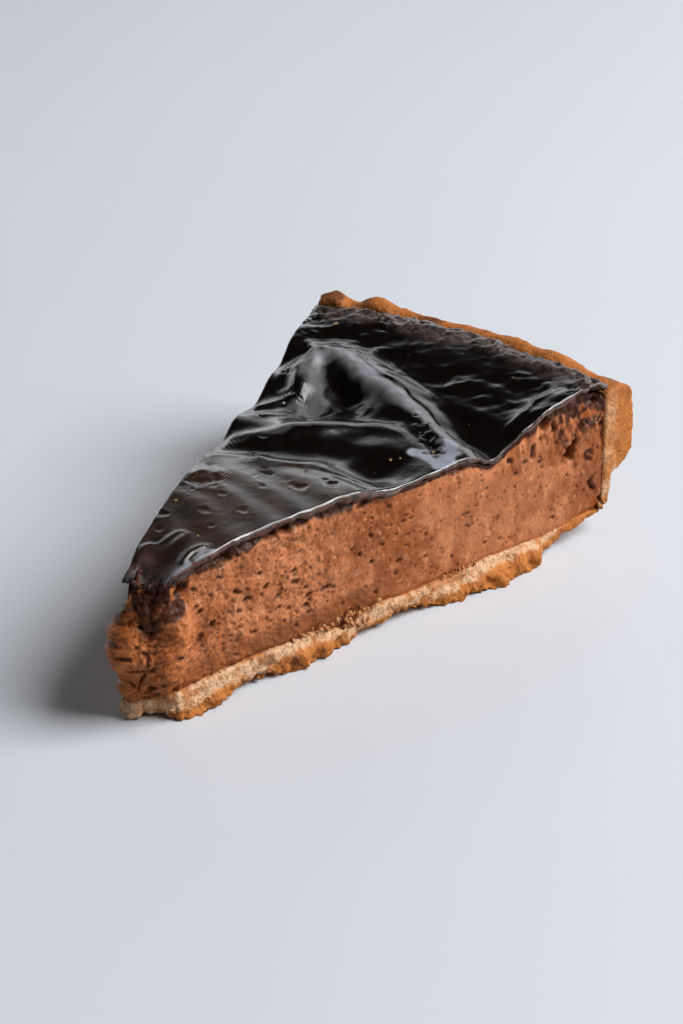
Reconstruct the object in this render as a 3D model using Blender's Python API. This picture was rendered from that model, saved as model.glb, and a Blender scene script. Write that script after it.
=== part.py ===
"""A slice of chocolate tart as three solids: pastry crust, baked chocolate filling and dark glaze.

Every solid is a ring of upright sections, turned about the centre of the tart from one cut face to the other.
A section is a closed line of (radius, height) points. Sizes are in millimetres and become metres in loft().
"""

import math

import bmesh
import bpy
import numpy as np

MM = 0.001

# Driving dimensions of the slice
HALF_ANGLE = math.radians(16.3)  # from the middle line to each cut face
TART_CENTRE = (-66.9, 0.5)  # the whole tart's centre, measured from the middle of the slice
TIP_FRONT_RADIUS = 14.4  # where the blunt tip meets the front cut (-Y side)
TIP_LEFT_RADIUS = 9.4  # where it meets the left cut (+Y side)
BASE_TOP = 5.2  # top of the pastry base above the table
WALL_RADIUS = 119.8  # inner face of the crust wall beside the glaze
HEEL_RADIUS = 121.0  # inner face of the wall below its lip
SKIN = 1.3  # thin pastry under the lip
LIP_FOOT = 12.0  # height where the thick lip starts
LIP_RADIUS = 125.4  # outer face of the lip
RIM_TOP = 32.0  # usual height of the rim
GLAZE_THICKNESS = 1.7
GAP = 0.3  # between pieces that touch

ANGLE_STEPS = 26
RADIAL_STEPS = 36
FLOOR_STEPS = 14
WALL_STEPS = 7

# Height of the glaze along each cut, from the tip to the wall: (radius, height)
FRONT_EDGE = [(8, 27.4), (14, 28.8), (20, 30.0), (50, 31.3), (57, 31.0), (61, 29.7), (78, 28.3), (84, 26.5),
              (89, 25.8), (98, 29.8), (107, 33.0), (115, 32.6), (121, 30.8)]
LEFT_EDGE = [(8, 27.6), (14, 29.0), (52, 30.8), (62, 28.7), (69, 30.2), (81, 27.7), (91, 29.4), (96, 29.0),
             (102, 31.4), (112, 31.9), (121, 30.8)]

# Folds in the glaze skin: the crest as (x, y) from the tart's centre, its rise, and its width on each side
FOLDS = {
    "main": {
        "crest": [(82, -25), (84, -17), (89, -8), (93, 3), (97, 14), (98, 19), (93, 20), (85, 18)],
        "rise": 2.7,
        "inside": 2.6,
        "outside": 1.7,
    },
    "back": {
        "crest": [(86, -26), (90, -12), (96, -1), (100, 9), (101, 15), (97, 23)],
        "rise": 1.5,
        "inside": 1.4,
        "outside": 2.0,
    },
    "middle": {
        "crest": [(58, 17), (66, 9), (74, 4), (80, -2), (84, -10)],
        "rise": 1.5,
        "inside": 2.6,
        "outside": 2.6,
    },
    "step": {"crest": [(56, 2), (60, -6), (60, -18)], "rise": 0.7, "inside": 1.1, "outside": 1.1},
    "tip": {"crest": [(18, 6), (19, 3), (24, 1), (29, 0)], "rise": 0.8, "inside": 1.2, "outside": 1.2},
}
# Hollows in the glaze: (x, y), depth, reach
HOLLOWS = [
    ((14, 0), 1.1, 3.2),
    ((72, -9), 1.0, 6.0),
    ((88, 7), 1.6, 4.5),
    ((106, -4), 1.3, 6.0),
    ((106, 12), 1.0, 5.0),
]

# Peaks and dips of the rim: (share of the half angle, height over RIM_TOP); the front cut is -1
RIM_LINE = [(-1.0, -1.4), (-0.75, -0.8), (-0.55, 0.6), (-0.43, 0.2), (-0.28, 0.6), (0.0, 0.1), (0.25, 0.3),
            (0.5, 0.8), (0.64, 2.3), (0.8, 0.4), (0.92, 2.0), (1.0, 0.9)]
# How far the broken edges of the base lift from the table along each cut: (radius, height)
FRONT_UNDERSIDE = [(10, 1.0), (14, 1.3), (17, 0), (24, 0.2), (28, 2.3), (33, 2.3), (38.5, 0), (54, 0), (61, 1.5),
                   (70, 1.3), (77, 0.2), (90, 0)]
LEFT_UNDERSIDE = [(10, 1.0), (16, 0.8), (26, 0), (34, 1.4), (44, 0), (64, 1.2), (74, 0.2), (86, 1), (95, 0)]
# The outer edge of the base curls up from the table: (radius, height)
HEEL_CURL = [(100, 0.0), (105, 0.5), (110, 1.9), (115, 3.1), (122, 4.3)]
# The tip bulges at half height and is worn back under the glaze: (height, shift along the radius)
TIP_BULGE = [(0, 1.6), (5, 0.2), (10, -1.8), (16, -2.3), (21, -1.2), (26, 0.9), (32, 1.8)]
# The base gets thinner towards the tip: where that starts, where it ends, and by how much
TIP_THINNING = (24.0, 10.0, 2.0)


def curve_through(knots, at):
    """The smooth curve through (place, value) knots, read at these places and level beyond its ends."""
    place, value = np.array(knots, float).T
    at = np.asarray(at, float)
    slope = np.gradient(value, place)
    k = np.clip(np.searchsorted(place, at) - 1, 0, len(place) - 2)
    width = place[k + 1] - place[k]
    u = np.clip((at - place[k]) / width, 0, 1)
    return (
        (1 + 2 * u) * (1 - u) ** 2 * value[k]
        + u * (1 - u) ** 2 * width * slope[k]
        + u * u * (3 - 2 * u) * value[k + 1]
        + u * u * (u - 1) * width * slope[k + 1]
    )


def smooth_step(low, high, x):
    u = np.clip((x - low) / (high - low), 0, 1)
    return u * u * (3 - 2 * u)


def crest_line(points, per_span=8):
    """Points along the smooth curve through a fold's crest points."""
    at = np.arange(len(points))
    fine = np.linspace(0, len(points) - 1, per_span * (len(points) - 1) + 1)
    columns = [curve_through(list(zip(at, column)), fine) for column in zip(*points)]
    return np.stack(columns, axis=-1)


def fold_height(fold, x, y):
    """Rise of one fold at (x, y): a rounded ridge, steeper on its outside, that fades at both ends."""
    line = crest_line(fold["crest"])
    off = np.stack([x, y], axis=-1)[..., None, :] - line
    distance = np.hypot(off[..., 0], off[..., 1])
    nearest = distance.argmin(axis=-1)
    along = np.gradient(line, axis=0)[nearest]
    away = np.take_along_axis(off, nearest[..., None, None], axis=-2)[..., 0, :]
    outside = along[..., 0] * away[..., 1] - along[..., 1] * away[..., 0] < 0
    width = np.where(outside, fold["outside"], fold["inside"])
    share = nearest / (len(line) - 1)
    fade = smooth_step(0, 0.12, share + 0.08) * smooth_step(0, 0.25, 1 - share)
    return fold["rise"] * fade * np.exp(-((distance.min(axis=-1) / width) ** 2))


def glaze_height(radius, turn):
    """Top of the glaze. turn runs from -1 at the front cut to 1 at the left cut."""
    radius, turn = np.broadcast_arrays(np.asarray(radius, float), np.asarray(turn, float))
    x, y = radius * np.cos(turn * HALF_ANGLE), radius * np.sin(turn * HALF_ANGLE)
    front, left = curve_through(FRONT_EDGE, radius), curve_through(LEFT_EDGE, radius)
    height = front + (left - front) * smooth_step(-1, 1, turn)
    inner = smooth_step(0, 0.25, 1 - np.abs(turn))  # hollows stop short of the cut faces
    for fold in FOLDS.values():
        height = height + fold_height(fold, x, y) * (0.45 + 0.55 * inner)
    for (hx, hy), depth, reach in HOLLOWS:
        height = height - inner * depth * np.exp(-((x - hx) ** 2 + (y - hy) ** 2) / reach**2)
    return height


def tip_radius(turn, height=30.0):
    straight = TIP_FRONT_RADIUS + (TIP_LEFT_RADIUS - TIP_FRONT_RADIUS) * (turn + 1) / 2
    rounding = 1.3 * abs(turn) ** 4  # takes the sharp corners off the blunt tip
    return straight + rounding + float(curve_through(TIP_BULGE, height))


def base_top(radius):
    start, end, thinner = TIP_THINNING
    toward_tip = np.clip((start - radius) / (start - end), 0, 1)
    return BASE_TOP - thinner * toward_tip + 0.9 * smooth_step(100, 118, radius)


def underside(radius, turn):
    """Height of the base's lower face: flat on the table, but lifted along broken edges and at the heel."""
    near_edge = max(smooth_step(0.8, 1.0, abs(turn)), 1 - smooth_step(15, 23, radius))
    broken = curve_through(FRONT_UNDERSIDE if turn < 0 else LEFT_UNDERSIDE, radius)
    return max(0.0, near_edge * broken) + max(0.0, curve_through(HEEL_CURL, radius))


def wall_inner(height):
    return WALL_RADIUS + (HEEL_RADIUS - WALL_RADIUS) * (1 - smooth_step(LIP_FOOT - 1, LIP_FOOT + 6, height))


def lip_outer(turn):
    """Outer radius of the lip: uneven, and folded thicker at the front cut."""
    waves = 0.35 * math.sin(9 * turn + 1.0) + 0.25 * math.sin(17 * turn)
    return LIP_RADIUS + waves + 3.0 * math.exp(-(((turn + 1) / 0.2) ** 2))


def crust_section(turn):
    """Underside, thin skin, thick lip, rim, inner wall and the top of the base, as one closed line."""
    tip = tip_radius(turn, 2.0)
    rim = RIM_TOP + float(curve_through(RIM_LINE, turn))
    lip = lip_outer(turn)
    foot = LIP_FOOT + 1.2 * math.sin(7 * turn + 2.5) * (1 - abs(turn))
    floor = np.linspace(0, 1, FLOOR_STEPS) ** 0.9
    under = [(r, float(underside(r, turn))) for r in tip + (HEEL_RADIUS - tip) * floor]
    skin = [(HEEL_RADIUS + SKIN * s, h) for s, h in ((0.8, BASE_TOP + 0.4), (1.0, foot * 0.75), (1.1, foot))]
    thick = lip - HEEL_RADIUS
    bulge = [(0.62, 0.06), (0.9, 0.2), (1.0, 0.42), (0.97, 0.68), (0.86, 0.88)]
    outer = [(HEEL_RADIUS + thick * s, foot + (rim - foot) * h) for s, h in bulge]
    middle = (WALL_RADIUS + HEEL_RADIUS + thick * 0.86) / 2
    top = [(middle + 0.4, rim - 0.1), (middle - 0.8, rim), (WALL_RADIUS + 0.5, rim - 0.5)]
    levels = np.linspace(rim - 1.2, base_top(HEEL_RADIUS) + 0.2, WALL_STEPS)
    inner = [(float(wall_inner(h)), h) for h in levels]
    floor_top = [(r, float(base_top(r))) for r in tip + (HEEL_RADIUS - tip) * floor[::-1][1:]]
    return under + skin + outer + top + inner + floor_top


def filling_section(turn):
    """From the base to the glaze, between the bulging tip and the crust wall."""
    low, high = BASE_TOP + GAP, float(glaze_height(WALL_RADIUS, turn)) - GLAZE_THICKNESS - GAP
    tip = tip_radius(turn, low)
    floor = np.linspace(0, 1, FLOOR_STEPS) ** 0.9
    bottom = [(r, float(base_top(r)) + GAP) for r in tip + (HEEL_RADIUS - GAP - tip) * floor]
    wall = [(float(wall_inner(h)) - GAP, h) for h in np.linspace(low + 1.5, high, WALL_STEPS)[:-1]]
    radii = glaze_radii(turn)
    top = list(zip(radii[::-1], (glaze_height(radii, turn) - GLAZE_THICKNESS - GAP)[::-1]))
    face = np.linspace(top[-1][1], low, WALL_STEPS)[1:-1]
    return bottom + wall + top + [(tip_radius(turn, h), h) for h in face]


def glaze_radii(turn):
    """The radii at which the glaze and the filling below it are both read."""
    return np.linspace(tip_radius(turn), WALL_RADIUS - GAP, RADIAL_STEPS)


def glaze_section(turn):
    """A thin skin that follows the folds and thins out at the tip and the wall."""
    radii = glaze_radii(turn)
    upper = glaze_height(radii, turn)
    lower = upper - GLAZE_THICKNESS
    upper[[0, -1]] -= GLAZE_THICKNESS * 0.55
    return list(zip(radii, lower)) + list(zip(radii[::-1], upper[::-1]))


def turns():
    """Shares of the half angle from the front cut to the left cut, closer together beside the cuts."""
    return np.sin(np.linspace(-math.pi / 2, math.pi / 2, ANGLE_STEPS + 1))


def cut_wander(radius, height, side):
    """Sideways shift of a cut face, in millimetres, as the knife left it."""
    short = 0.45 * np.sin(radius / 9 + side) * np.sin(height / 8 + 1.3 * side)
    return short + 0.3 * np.sin(radius / 23 - side)


def loft(name, section, material, ledge=0.0):
    """One solid: a section at every turn, joined by quads, with a flat cap at each cut face.

    ledge is how far the piece stands proud of the cut faces.
    """
    mesh = bmesh.new()
    rings = []
    for turn in turns():
        angle = turn * HALF_ANGLE
        outward, across = (math.cos(angle), math.sin(angle)), (-math.sin(angle), math.cos(angle))
        side = math.copysign(1, turn)
        ring = []
        for radius, height in section(turn):
            shift = abs(turn) ** 6 * (float(cut_wander(radius, height, side)) + side * ledge)
            x = TART_CENTRE[0] + radius * outward[0] + shift * across[0]
            y = TART_CENTRE[1] + radius * outward[1] + shift * across[1]
            ring.append(mesh.verts.new((x * MM, y * MM, height * MM)))
        rings.append(ring)
    count = len(rings[0])
    for ring, following in zip(rings, rings[1:]):
        for i in range(count):
            # the diagonal runs outward, so that facing pieces keep their gap
            near, far = sorted((i, (i + 1) % count), key=lambda k: ring[k].co.x)
            mesh.faces.new((ring[near], ring[far], following[far]))
            mesh.faces.new((ring[near], following[far], following[near]))
    mesh.faces.new(rings[0][::-1])
    mesh.faces.new(rings[-1])
    bmesh.ops.recalc_face_normals(mesh, faces=mesh.faces)
    data = bpy.data.meshes.new(name)
    mesh.to_mesh(data)
    mesh.free()
    data.shade_smooth()
    data.set_sharp_from_angle(angle=math.radians(40))
    data.materials.append(material)
    piece = bpy.data.objects.new(name, data)
    bpy.context.scene.collection.objects.link(piece)
    return piece


def food_material(name, colour, roughness, coat=0.0):
    material = bpy.data.materials.new(name)
    material.use_nodes = True
    shader = material.node_tree.nodes["Principled BSDF"]
    shader.inputs["Base Color"].default_value = (*colour, 1.0)
    shader.inputs["Roughness"].default_value = roughness
    shader.inputs["Metallic"].default_value = 0.0
    shader.inputs["Coat Weight"].default_value = coat
    return material


def main():
    for old in list(bpy.data.objects):
        bpy.data.objects.remove(old, do_unlink=True)
    slice_centre = bpy.data.objects.new("tart_slice", None)
    bpy.context.scene.collection.objects.link(slice_centre)
    pieces = [
        loft("crust", crust_section, food_material("baked_pastry", (0.60, 0.36, 0.17), 0.75), ledge=0.7),
        loft("filling", filling_section, food_material("chocolate_filling", (0.36, 0.15, 0.07), 0.6)),
        loft("glaze", glaze_section, food_material("dark_glaze", (0.018, 0.011, 0.008), 0.2, coat=0.5)),
    ]
    for piece in pieces:
        piece.parent = slice_centre


main()
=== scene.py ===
import itertools
import math

import bmesh
import bpy
import numpy as np
from mathutils import Matrix, Vector


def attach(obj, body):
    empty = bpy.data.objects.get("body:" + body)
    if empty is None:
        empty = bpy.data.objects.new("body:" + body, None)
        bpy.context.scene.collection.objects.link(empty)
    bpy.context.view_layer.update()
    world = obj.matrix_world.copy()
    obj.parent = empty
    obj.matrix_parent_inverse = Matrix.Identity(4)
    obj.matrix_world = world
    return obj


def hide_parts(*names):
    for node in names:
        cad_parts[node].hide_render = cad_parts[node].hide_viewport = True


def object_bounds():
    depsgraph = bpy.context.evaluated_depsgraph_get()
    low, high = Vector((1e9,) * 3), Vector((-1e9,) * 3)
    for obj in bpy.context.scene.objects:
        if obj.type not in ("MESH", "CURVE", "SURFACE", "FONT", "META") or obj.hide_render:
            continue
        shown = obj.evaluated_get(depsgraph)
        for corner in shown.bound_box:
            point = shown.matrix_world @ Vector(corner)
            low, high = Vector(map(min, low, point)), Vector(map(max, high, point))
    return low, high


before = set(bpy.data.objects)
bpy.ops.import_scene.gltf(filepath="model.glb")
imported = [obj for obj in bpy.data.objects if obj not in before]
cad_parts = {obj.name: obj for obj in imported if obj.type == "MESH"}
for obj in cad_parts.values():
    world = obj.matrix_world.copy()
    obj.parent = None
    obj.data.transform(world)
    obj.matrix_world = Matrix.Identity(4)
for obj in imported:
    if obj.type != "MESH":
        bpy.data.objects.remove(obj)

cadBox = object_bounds()
mm = 0.001

# the slice is laid out in mm from the centre of the whole tart, +X along its middle line
tart = {
    "rimRadius": 125.85,  # outer face of the rim on the middle line
    "sideShift": 0.5,
    "halfAngle": math.radians(16.3),
    "wall": 119.7,  # where the glaze and filling meet the crust wall
    "tipFront": 14.4,
    "tipLeft": 9.4,
    "baseTop": 5.2,
    # top of the base along the front cut: (radius, height)
    "baseLine": [(9, 3.2), (14, 4.9), (18, 5.2), (26, 5.8), (34, 5.7), (42, 5.4), (47, 5.1), (50, 4.3),
                 (53, 3.6), (56, 3.7), (59, 4.3), (62.5, 5.1), (67, 4.7), (72, 4.5), (82, 4.8), (93, 4.9),
                 (98, 4.7), (103, 4.4), (109, 4.8), (115, 5.2)],
    "glazeThickness": 1.6,
}
tart["centre"] = np.array([cadBox[1].x / mm - tart["rimRadius"], tart["sideShift"]])


def smoothStep(low, high, x):
    u = np.clip((x - low) / (high - low), 0, 1)
    return u * u * (3 - 2 * u)


def curveThrough(knots, at):  # smooth curve through (place, value) knots, level beyond its ends
    place, value = np.array(knots, float).T
    slope = np.gradient(value, place)
    k = np.clip(np.searchsorted(place, at) - 1, 0, len(place) - 2)
    width = place[k + 1] - place[k]
    u = np.clip((at - place[k]) / width, 0, 1)
    rising = u * u * (3 - 2 * u)
    bend = width * u * (1 - u) * ((1 - u) * slope[k] - u * slope[k + 1])
    return value[k] + rising * (value[k + 1] - value[k]) + bend


def lumps(points, size, seed):  # smooth noise from -1 to 1, one lump about every size mm
    place = np.asarray(points, float) / size + 31.7 * seed
    cell = np.floor(place).astype(np.int64)
    u = place - cell
    u = u * u * u * (u * (6 * u - 15) + 10)
    total = np.zeros(place.shape[:-1])
    for corner in itertools.product((0, 1), repeat=3):
        at = cell + np.array(corner)
        key = at[..., 0] * 374761393 + at[..., 1] * 668265263 + at[..., 2] * 1442695041 + seed * 974711
        key = (key ^ (key >> 13)) * 1274126177
        value = ((key ^ (key >> 16)) & 0xFFFF) / 32767.5 - 1
        weight = np.where(corner, u, 1 - u).prod(axis=-1)
        total += weight * value
    return total


def roughLumps(points, size, seed, octaves=3):
    total = 0
    for n in range(octaves):
        total = total + lumps(points, size / 2**n, seed + n) / 2**n
    return total


def crumbCells(points, size, seed):  # 1 at the middle of each crumb, 0 in the gaps between them
    place = np.asarray(points, float) / size + 17.3 * seed
    cell = np.floor(place).astype(np.int64)
    first = np.full(place.shape[:-1], 9.0)
    second = first.copy()
    for shift in itertools.product((-1, 0, 1), repeat=3):
        at = cell + np.array(shift)
        key = at[..., 0] * 73856093 ^ at[..., 1] * 19349663 ^ at[..., 2] * 83492791 ^ seed * 2654435
        away = np.zeros(place.shape[:-1])
        for axis in range(3):
            key = (key ^ (key >> 13)) * 1274126177 & 0x7FFFFFFF
            away += (place[..., axis] - at[..., axis] - 0.1 - 0.8 * ((key >> 8) & 0xFFFF) / 65535) ** 2
        second = np.minimum(second, np.maximum(away, first))
        first = np.minimum(first, away)
    return np.clip((np.sqrt(second) - np.sqrt(first)) * 1.6, 0, 1)


def plan(radius, turn):  # turn runs from -1 at the front cut to 1 at the left cut
    angle = turn * tart["halfAngle"]
    return radius * np.cos(angle), radius * np.sin(angle)


def tipRadius(turn):
    straight = tart["tipFront"] + (tart["tipLeft"] - tart["tipFront"]) * (turn + 1) / 2
    return straight + 1.1 * np.abs(turn) ** 4


def asPoints(x, y, z):
    return np.stack(np.broadcast_arrays(x, y, z), axis=-1)


def makePiece(name, points, faces, masks=None):
    mesh = bpy.data.meshes.new(name)
    world = np.array(points, float)
    world[:, :2] += tart["centre"]
    mesh.from_pydata((world * mm).tolist(), [], faces)
    for label, values in (masks or {}).items():
        layer = mesh.attributes.new(label, "FLOAT", "POINT")
        layer.data.foreach_set("value", np.asarray(values, np.float32).ravel())
    mesh.shade_smooth()
    piece = bpy.data.objects.new(name, mesh)
    bpy.context.scene.collection.objects.link(piece)
    return piece


def relief(points, waves):  # sum of smooth noises, each given as (rise, lump size, seed)
    return sum(rise * lumps(points, size, seed) for rise, size, seed in waves)


def swings(turn, waves):  # sum of sine waves across the slice, each given as (rise, rate, phase)
    return sum(rise * np.sin(rate * turn + phase) for rise, rate, phase in waves)


glaze = {
    # height of the skin along each cut: (radius, height)
    "frontEdge": [(8, 27.2), (14, 28.6), (20, 30.0), (50, 31.3), (57, 31.0), (61, 29.7), (77, 28.5),
                  (81, 28.8), (84, 28.3), (86.5, 27.3), (89.5, 26.0), (92.5, 27.0), (98, 29.6), (107, 32.6),
                  (115, 32.8), (121, 30.9)],
    "leftEdge": [(8, 27.6), (14, 29.0), (52, 30.8), (62, 28.7), (69, 30.2), (81, 27.7), (91, 29.4),
                 (96, 29.0), (102, 31.4), (112, 31.8), (121, 30.9)],
    # broad swells and hollows inside the edges: x, y, rise, reach
    "swells": [(15, 0, -1.5, 3.2), (65.5, -12, -1.8, 5.0), (68, -3, -0.9, 4.5), (76, -9, 0.8, 4.5),
               (74, 4, 0.5, 5.0), (88.5, 8, -1.7, 5.0), (80, 11, -1.0, 3.6), (78, 18, 0.5, 4.0),
               (82, -17, -0.5, 4.0)],
    # height along the middle of the back, where the skin climbs towards the rim
    "backLine": [(94, 29.2), (99, 29.5), (105, 30.6), (112, 32.2), (117, 32.7), (121, 30.9)],
    # the big double fold: its line, how wide and high it is along that line, and its section
    "ridge": {
        "line": [(80.5, -26), (82.5, -20), (85.5, -13.5), (88, -8), (90, -2), (91.8, 3), (93.8, 9),
                 (95.6, 14), (96.6, 18)],
        "spread": [(0, 0.7), (0.2, 0.8), (0.4, 1.0), (1, 1.15)],
        "strength": [(0, 0.3), (0.13, 0.45), (0.26, 0.75), (0.38, 1.0), (0.85, 1.0), (1, 0.8)],
        # (distance outward, height)
        "section": [(-7, 0.0), (-5, 0.3), (-3.8, 0.9), (-2.6, 1.8), (-1.6, 2.55), (-0.9, 2.95), (-0.3, 3.1),
                    (0.4, 3.0), (1.3, 2.65), (2.1, 2.3), (2.5, 2.12), (2.65, 2.0), (2.8, 2.02), (3.0, 2.12),
                    (3.6, 1.95), (4.6, 1.5), (5.6, 0.95), (6.8, 0.35), (8.0, 0.0)],
    },
    # painted highlight: where the skin is painted a soft grey sheen that stands in for reflections on it:
    # line, reach, strength
    "paintedSheen": {
        "hood": ([(93, 21), (89, 17), (84, 13), (80, 12)], 3.2, 0.43),
        "hook": ([(92.5, 21), (95.2, 18.5), (97.4, 15), (98, 11.5), (96.8, 7.5)], 2.5, 0.72),
        "flap": ([(71, 18), (76, 16), (80, 15)], 1.6, 0.3),
        "middle": ([(66, 11), (70, 9), (74, 6), (77, 4), (80, 0)], 2.6, 0.2),
        "step": ([(53, 7), (56, 3), (59, -2), (60, -8)], 2.0, 0.12),
        "tipShine": ([(14.8, -4.3), (17, -4.9), (18.5, -5.3)], 1.3, 0.9),
        "edgeShine": ([(20.5, -5.9), (23.5, -6.8)], 0.9, 0.8),
        "patch": ([(76.4, -14.6), (76.2, -17.5), (74.8, -20.6)], 2.0, 1.0),
        "patchLow": ([(75.5, -21), (78.5, -20.5), (82.5, -18.5)], 2.5, 0.95),
    },
    # painted highlight strength along the main fold's crest and the shelf beside it
    "crestSheen": 0.66,
    "shelfSheen": 0.3,
    # folded skin: crest as (x, y), rise, reach on its inner and outer side
    "folds": {
        "hookTop": ([(95.5, 14), (97.5, 17.5), (96.5, 20), (94, 20.8), (90, 20), (85, 18), (81, 20)],
                    2.2, 2.4, 1.6),
        "lobe": ([(88, 21.8), (94, 20.8), (97.6, 18.3), (99, 14.5), (99.4, 10.5)], 1.6, 2.6, 1.8),
        "middle": ([(58, 17), (63, 12), (66, 9), (70, 7), (74, 4), (77, 2), (80, -2), (82, -7), (84, -10)],
                   1.25, 2.6, 3.0),
        "flap": ([(74, 21), (78, 19), (81, 17), (83, 14)], 1.0, 1.4, 1.4),
        "flapLow": ([(71, 17), (75, 14), (78, 13)], 0.5, 1.4, 1.2),
        "curl": ([(81, 15), (78, 11), (75, 7)], 0.7, 1.0, 1.4),
        "hoodWave": ([(91, 17), (87, 13), (83, 9)], 0.35, 1.6, 1.6),
        "hoodWaveTwo": ([(92, 9), (88, 5), (85, 1)], 0.3, 1.4, 1.4),
        "step": ([(53, 7), (56, 2), (59, -3), (60, -8), (60, -13), (60, -19)], 0.75, 1.7, 1.3),
        "stepShadow": ([(60, -2), (62, -7), (63, -12), (63, -17)], 0.35, 0.7, 0.8),
        "ripple": ([(38, 12), (42, 12), (45, 10), (45, 4)], 0.4, 1.6, 1.4),
        "rippleTwo": ([(51, 14), (54, 11), (55, 7), (55, 3)], 0.35, 1.8, 1.4),
        "tip": ([(17, 5), (20, 2), (23, 1), (27, 0)], 0.7, 1.0, 1.0),
        "tipFront": ([(18, -4), (21, -4), (25, -6)], 0.7, 0.9, 0.9),
        "rimStreak": ([(93, -24), (101, -25), (108, -27)], 0.3, 0.7, 0.9),
        "plateauStreak": ([(101, -6), (104, -12), (103, -20)], 0.3, 1.1, 1.4),
        "plateauStreakTwo": ([(104, 14), (107, 6), (107, -2)], 0.3, 1.1, 1.6),
    },
    "foldSharing": (0.6, 2.4, 0.6),  # where the skin already stands this high, a fold loses up to this share
    "edgeShare": 0.35,  # share of the folds' height left at the cuts
    "edgeRun": 1.8,  # distance in from a cut over which folds and swells grow to full height
    "backRun": (0.5, 8),
    # flecks of pale sugar left on the skin: x, y, radius
    "flecks": [(33, 8, 0.3), (109, 25, 0.35), (72, -12, 0.28), (73.4, -13.4, 0.18), (79, -17, 0.2),
               (26, -2, 0.2)],
    # small pits left by bubbles: x, y, radius
    "pits": [(51, 1, 1.1), (52.5, 2.4, 0.6), (50, -7, 0.8), (54, -11, 1.1), (41, 9, 1.5), (43.5, 7, 0.7),
             (28, 8, 0.8), (21, 3, 0.7), (47, 11, 0.6), (58, 9, 0.6), (33, 2, 0.5), (36, -4, 0.6),
             (46, -2, 0.5), (30, -2, 0.5), (39, 3, 0.5), (56, -4, 0.5), (64, 11, 0.6), (24, 5, 0.6)],
    # wet black specks on the foot of the main fold: x, y, radius
    "specks": [(87.3, -8.2, 0.8), (85.6, -9.3, 0.7), (86.0, -10.8, 1.0), (84.2, -12.2, 1.1),
               (82.6, -12.4, 0.6), (82.6, -14.2, 1.0), (80.6, -14.6, 0.8), (80.4, -16.4, 1.1),
               (78.6, -17.4, 1.0), (79.2, -18.9, 0.7), (77.3, -18.4, 0.8), (77.6, -16.2, 0.5)],
    "ripples": (0.09, 7.5, 0.35),  # rise, spacing and lean of the soft ripples across the plateau
    "plateauCalm": 0.45,  # how much quieter the soft lumps are there
    "rimRise": 0.5,
    "tornDrop": 0.9,
    # radii over which each zone starts or ends
    "zones": {"back": (94, 99), "plateau": (56, 64), "streaks": (96, 102), "rim": (111, 118),
              "torn": (13.5, 18.5), "corner": (109, 113), "rimBand": (112, 116), "warmPlateau": (54, 62),
              "crumbly": (13, 19), "greyLip": (57, 64), "thinBack": (60, 75), "thinTip": (14, 22),
              "tuckedLip": (17, 24)},
    "cornerRun": (1.5, 4.5),  # distance in from the cut over which the crumbly corner ends
    # noise on the skin: (rise, lump size, seed)
    "waves": {
        "driftX": [(0.7, 9, 14), (0.3, 3, 16)],
        "driftY": [(0.7, 9, 15), (0.3, 3, 17)],
        "rippleWarp": [(1.6, 14, 5)],
        "soft": [(0.12, 5.0, 11), (0.045, 2.2, 12), (0.012, 1.0, 13)],
        "streaks": [(0.19, 2.4, 21)],
        "streakGrain": [(0.08, 1.3, 22)],
        "rimEdge": [(1.5, 6, 31)],
        "rimLumps": [(0.5, 3.0, 32), (0.4, 1.5, 33), (0.2, 0.8, 30)],
        "tornEdge": [(2.0, 3.0, 39)],
        "tornLumps": [(0.25, 1.6, 45), (0.15, 0.8, 46)],
        "cornerEdge": [(1.5, 4, 47)],
        "cornerLumps": [(0.45, 1.6, 48), (0.2, 0.8, 49)],
        "thickness": [(0.3, 6, 41), (0.2, 2, 42)],
        "lip": [(0.45, 2.2, 43), (0.35, 1.0, 44)],
        "bandEdge": [(2.0, 7, 31), (0.8, 2, 34)],
        "plateauEdge": [(1.5, 5, 35)],
        "crumblyEdge": [(1.5, 2.5, 36)],
    },
    # where the skin starts past the tip: the gap, how much less it is at the front cut, and its ragged line
    "tipGap": (1.9, 1.5),
    "tipLine": [(0.4, 11, 0.6), (0.25, 27, 2), (0.1, 61, 0)],
    "thinner": (0.25, 0.55),  # thickness lost towards the back, thickness left at the tip
    "sideSteps": 330,
    "endSteps": 220,
    "capStep": 10,
    # the curled edge: outward shift, drop, as shares of the thickness
    "lip": [(0.10, 0.06), (0.24, 0.2), (0.3, 0.42), (0.26, 0.68), (0.1, 0.92), (-0.6, 1.05)],
    # how torn and how wet each of those rings looks
    "lipLooks": ([0.0, 0.3, 0.9, 1, 1, 1], [0.5, 1.0, 0.7, 0, 0, 0]),
}


def crestLine(points, spacing=0.5):
    at = np.arange(len(points))
    length = np.hypot(*np.diff(np.array(points, float), axis=0).T).sum()
    fine = np.linspace(0, len(points) - 1, int(length / spacing) + 2)
    return np.stack([curveThrough(list(zip(at, column)), fine) for column in zip(*points)], axis=-1)


def nearestOn(points, x, y):  # squared distance to a crest, signed side and share of its length
    line = crestLine(points)
    along = np.gradient(line, axis=0)
    nearest = np.zeros(x.shape, int)
    best = np.full(x.shape, 1e9)
    for n, (cx, cy) in enumerate(line):
        distance = (x - cx) ** 2 + (y - cy) ** 2
        closer = distance < best
        nearest[closer] = n
        best[closer] = distance[closer]
    side = along[nearest, 0] * (y - line[nearest, 1]) - along[nearest, 1] * (x - line[nearest, 0])
    return best, side, nearest / (len(line) - 1)


def foldHeight(fold, x, y):  # round-topped ridge, its own width on each side, fading at both ends
    points, rise, inner, outer = fold
    best, side, share = nearestOn(points, x, y)
    fade = smoothStep(0, 0.2, share + 0.08) * smoothStep(0, 0.22, 1 - share)
    reach = np.where(side > 0, inner, outer)
    return rise * fade / (1 + (best / reach**2) ** 1.7)


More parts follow.
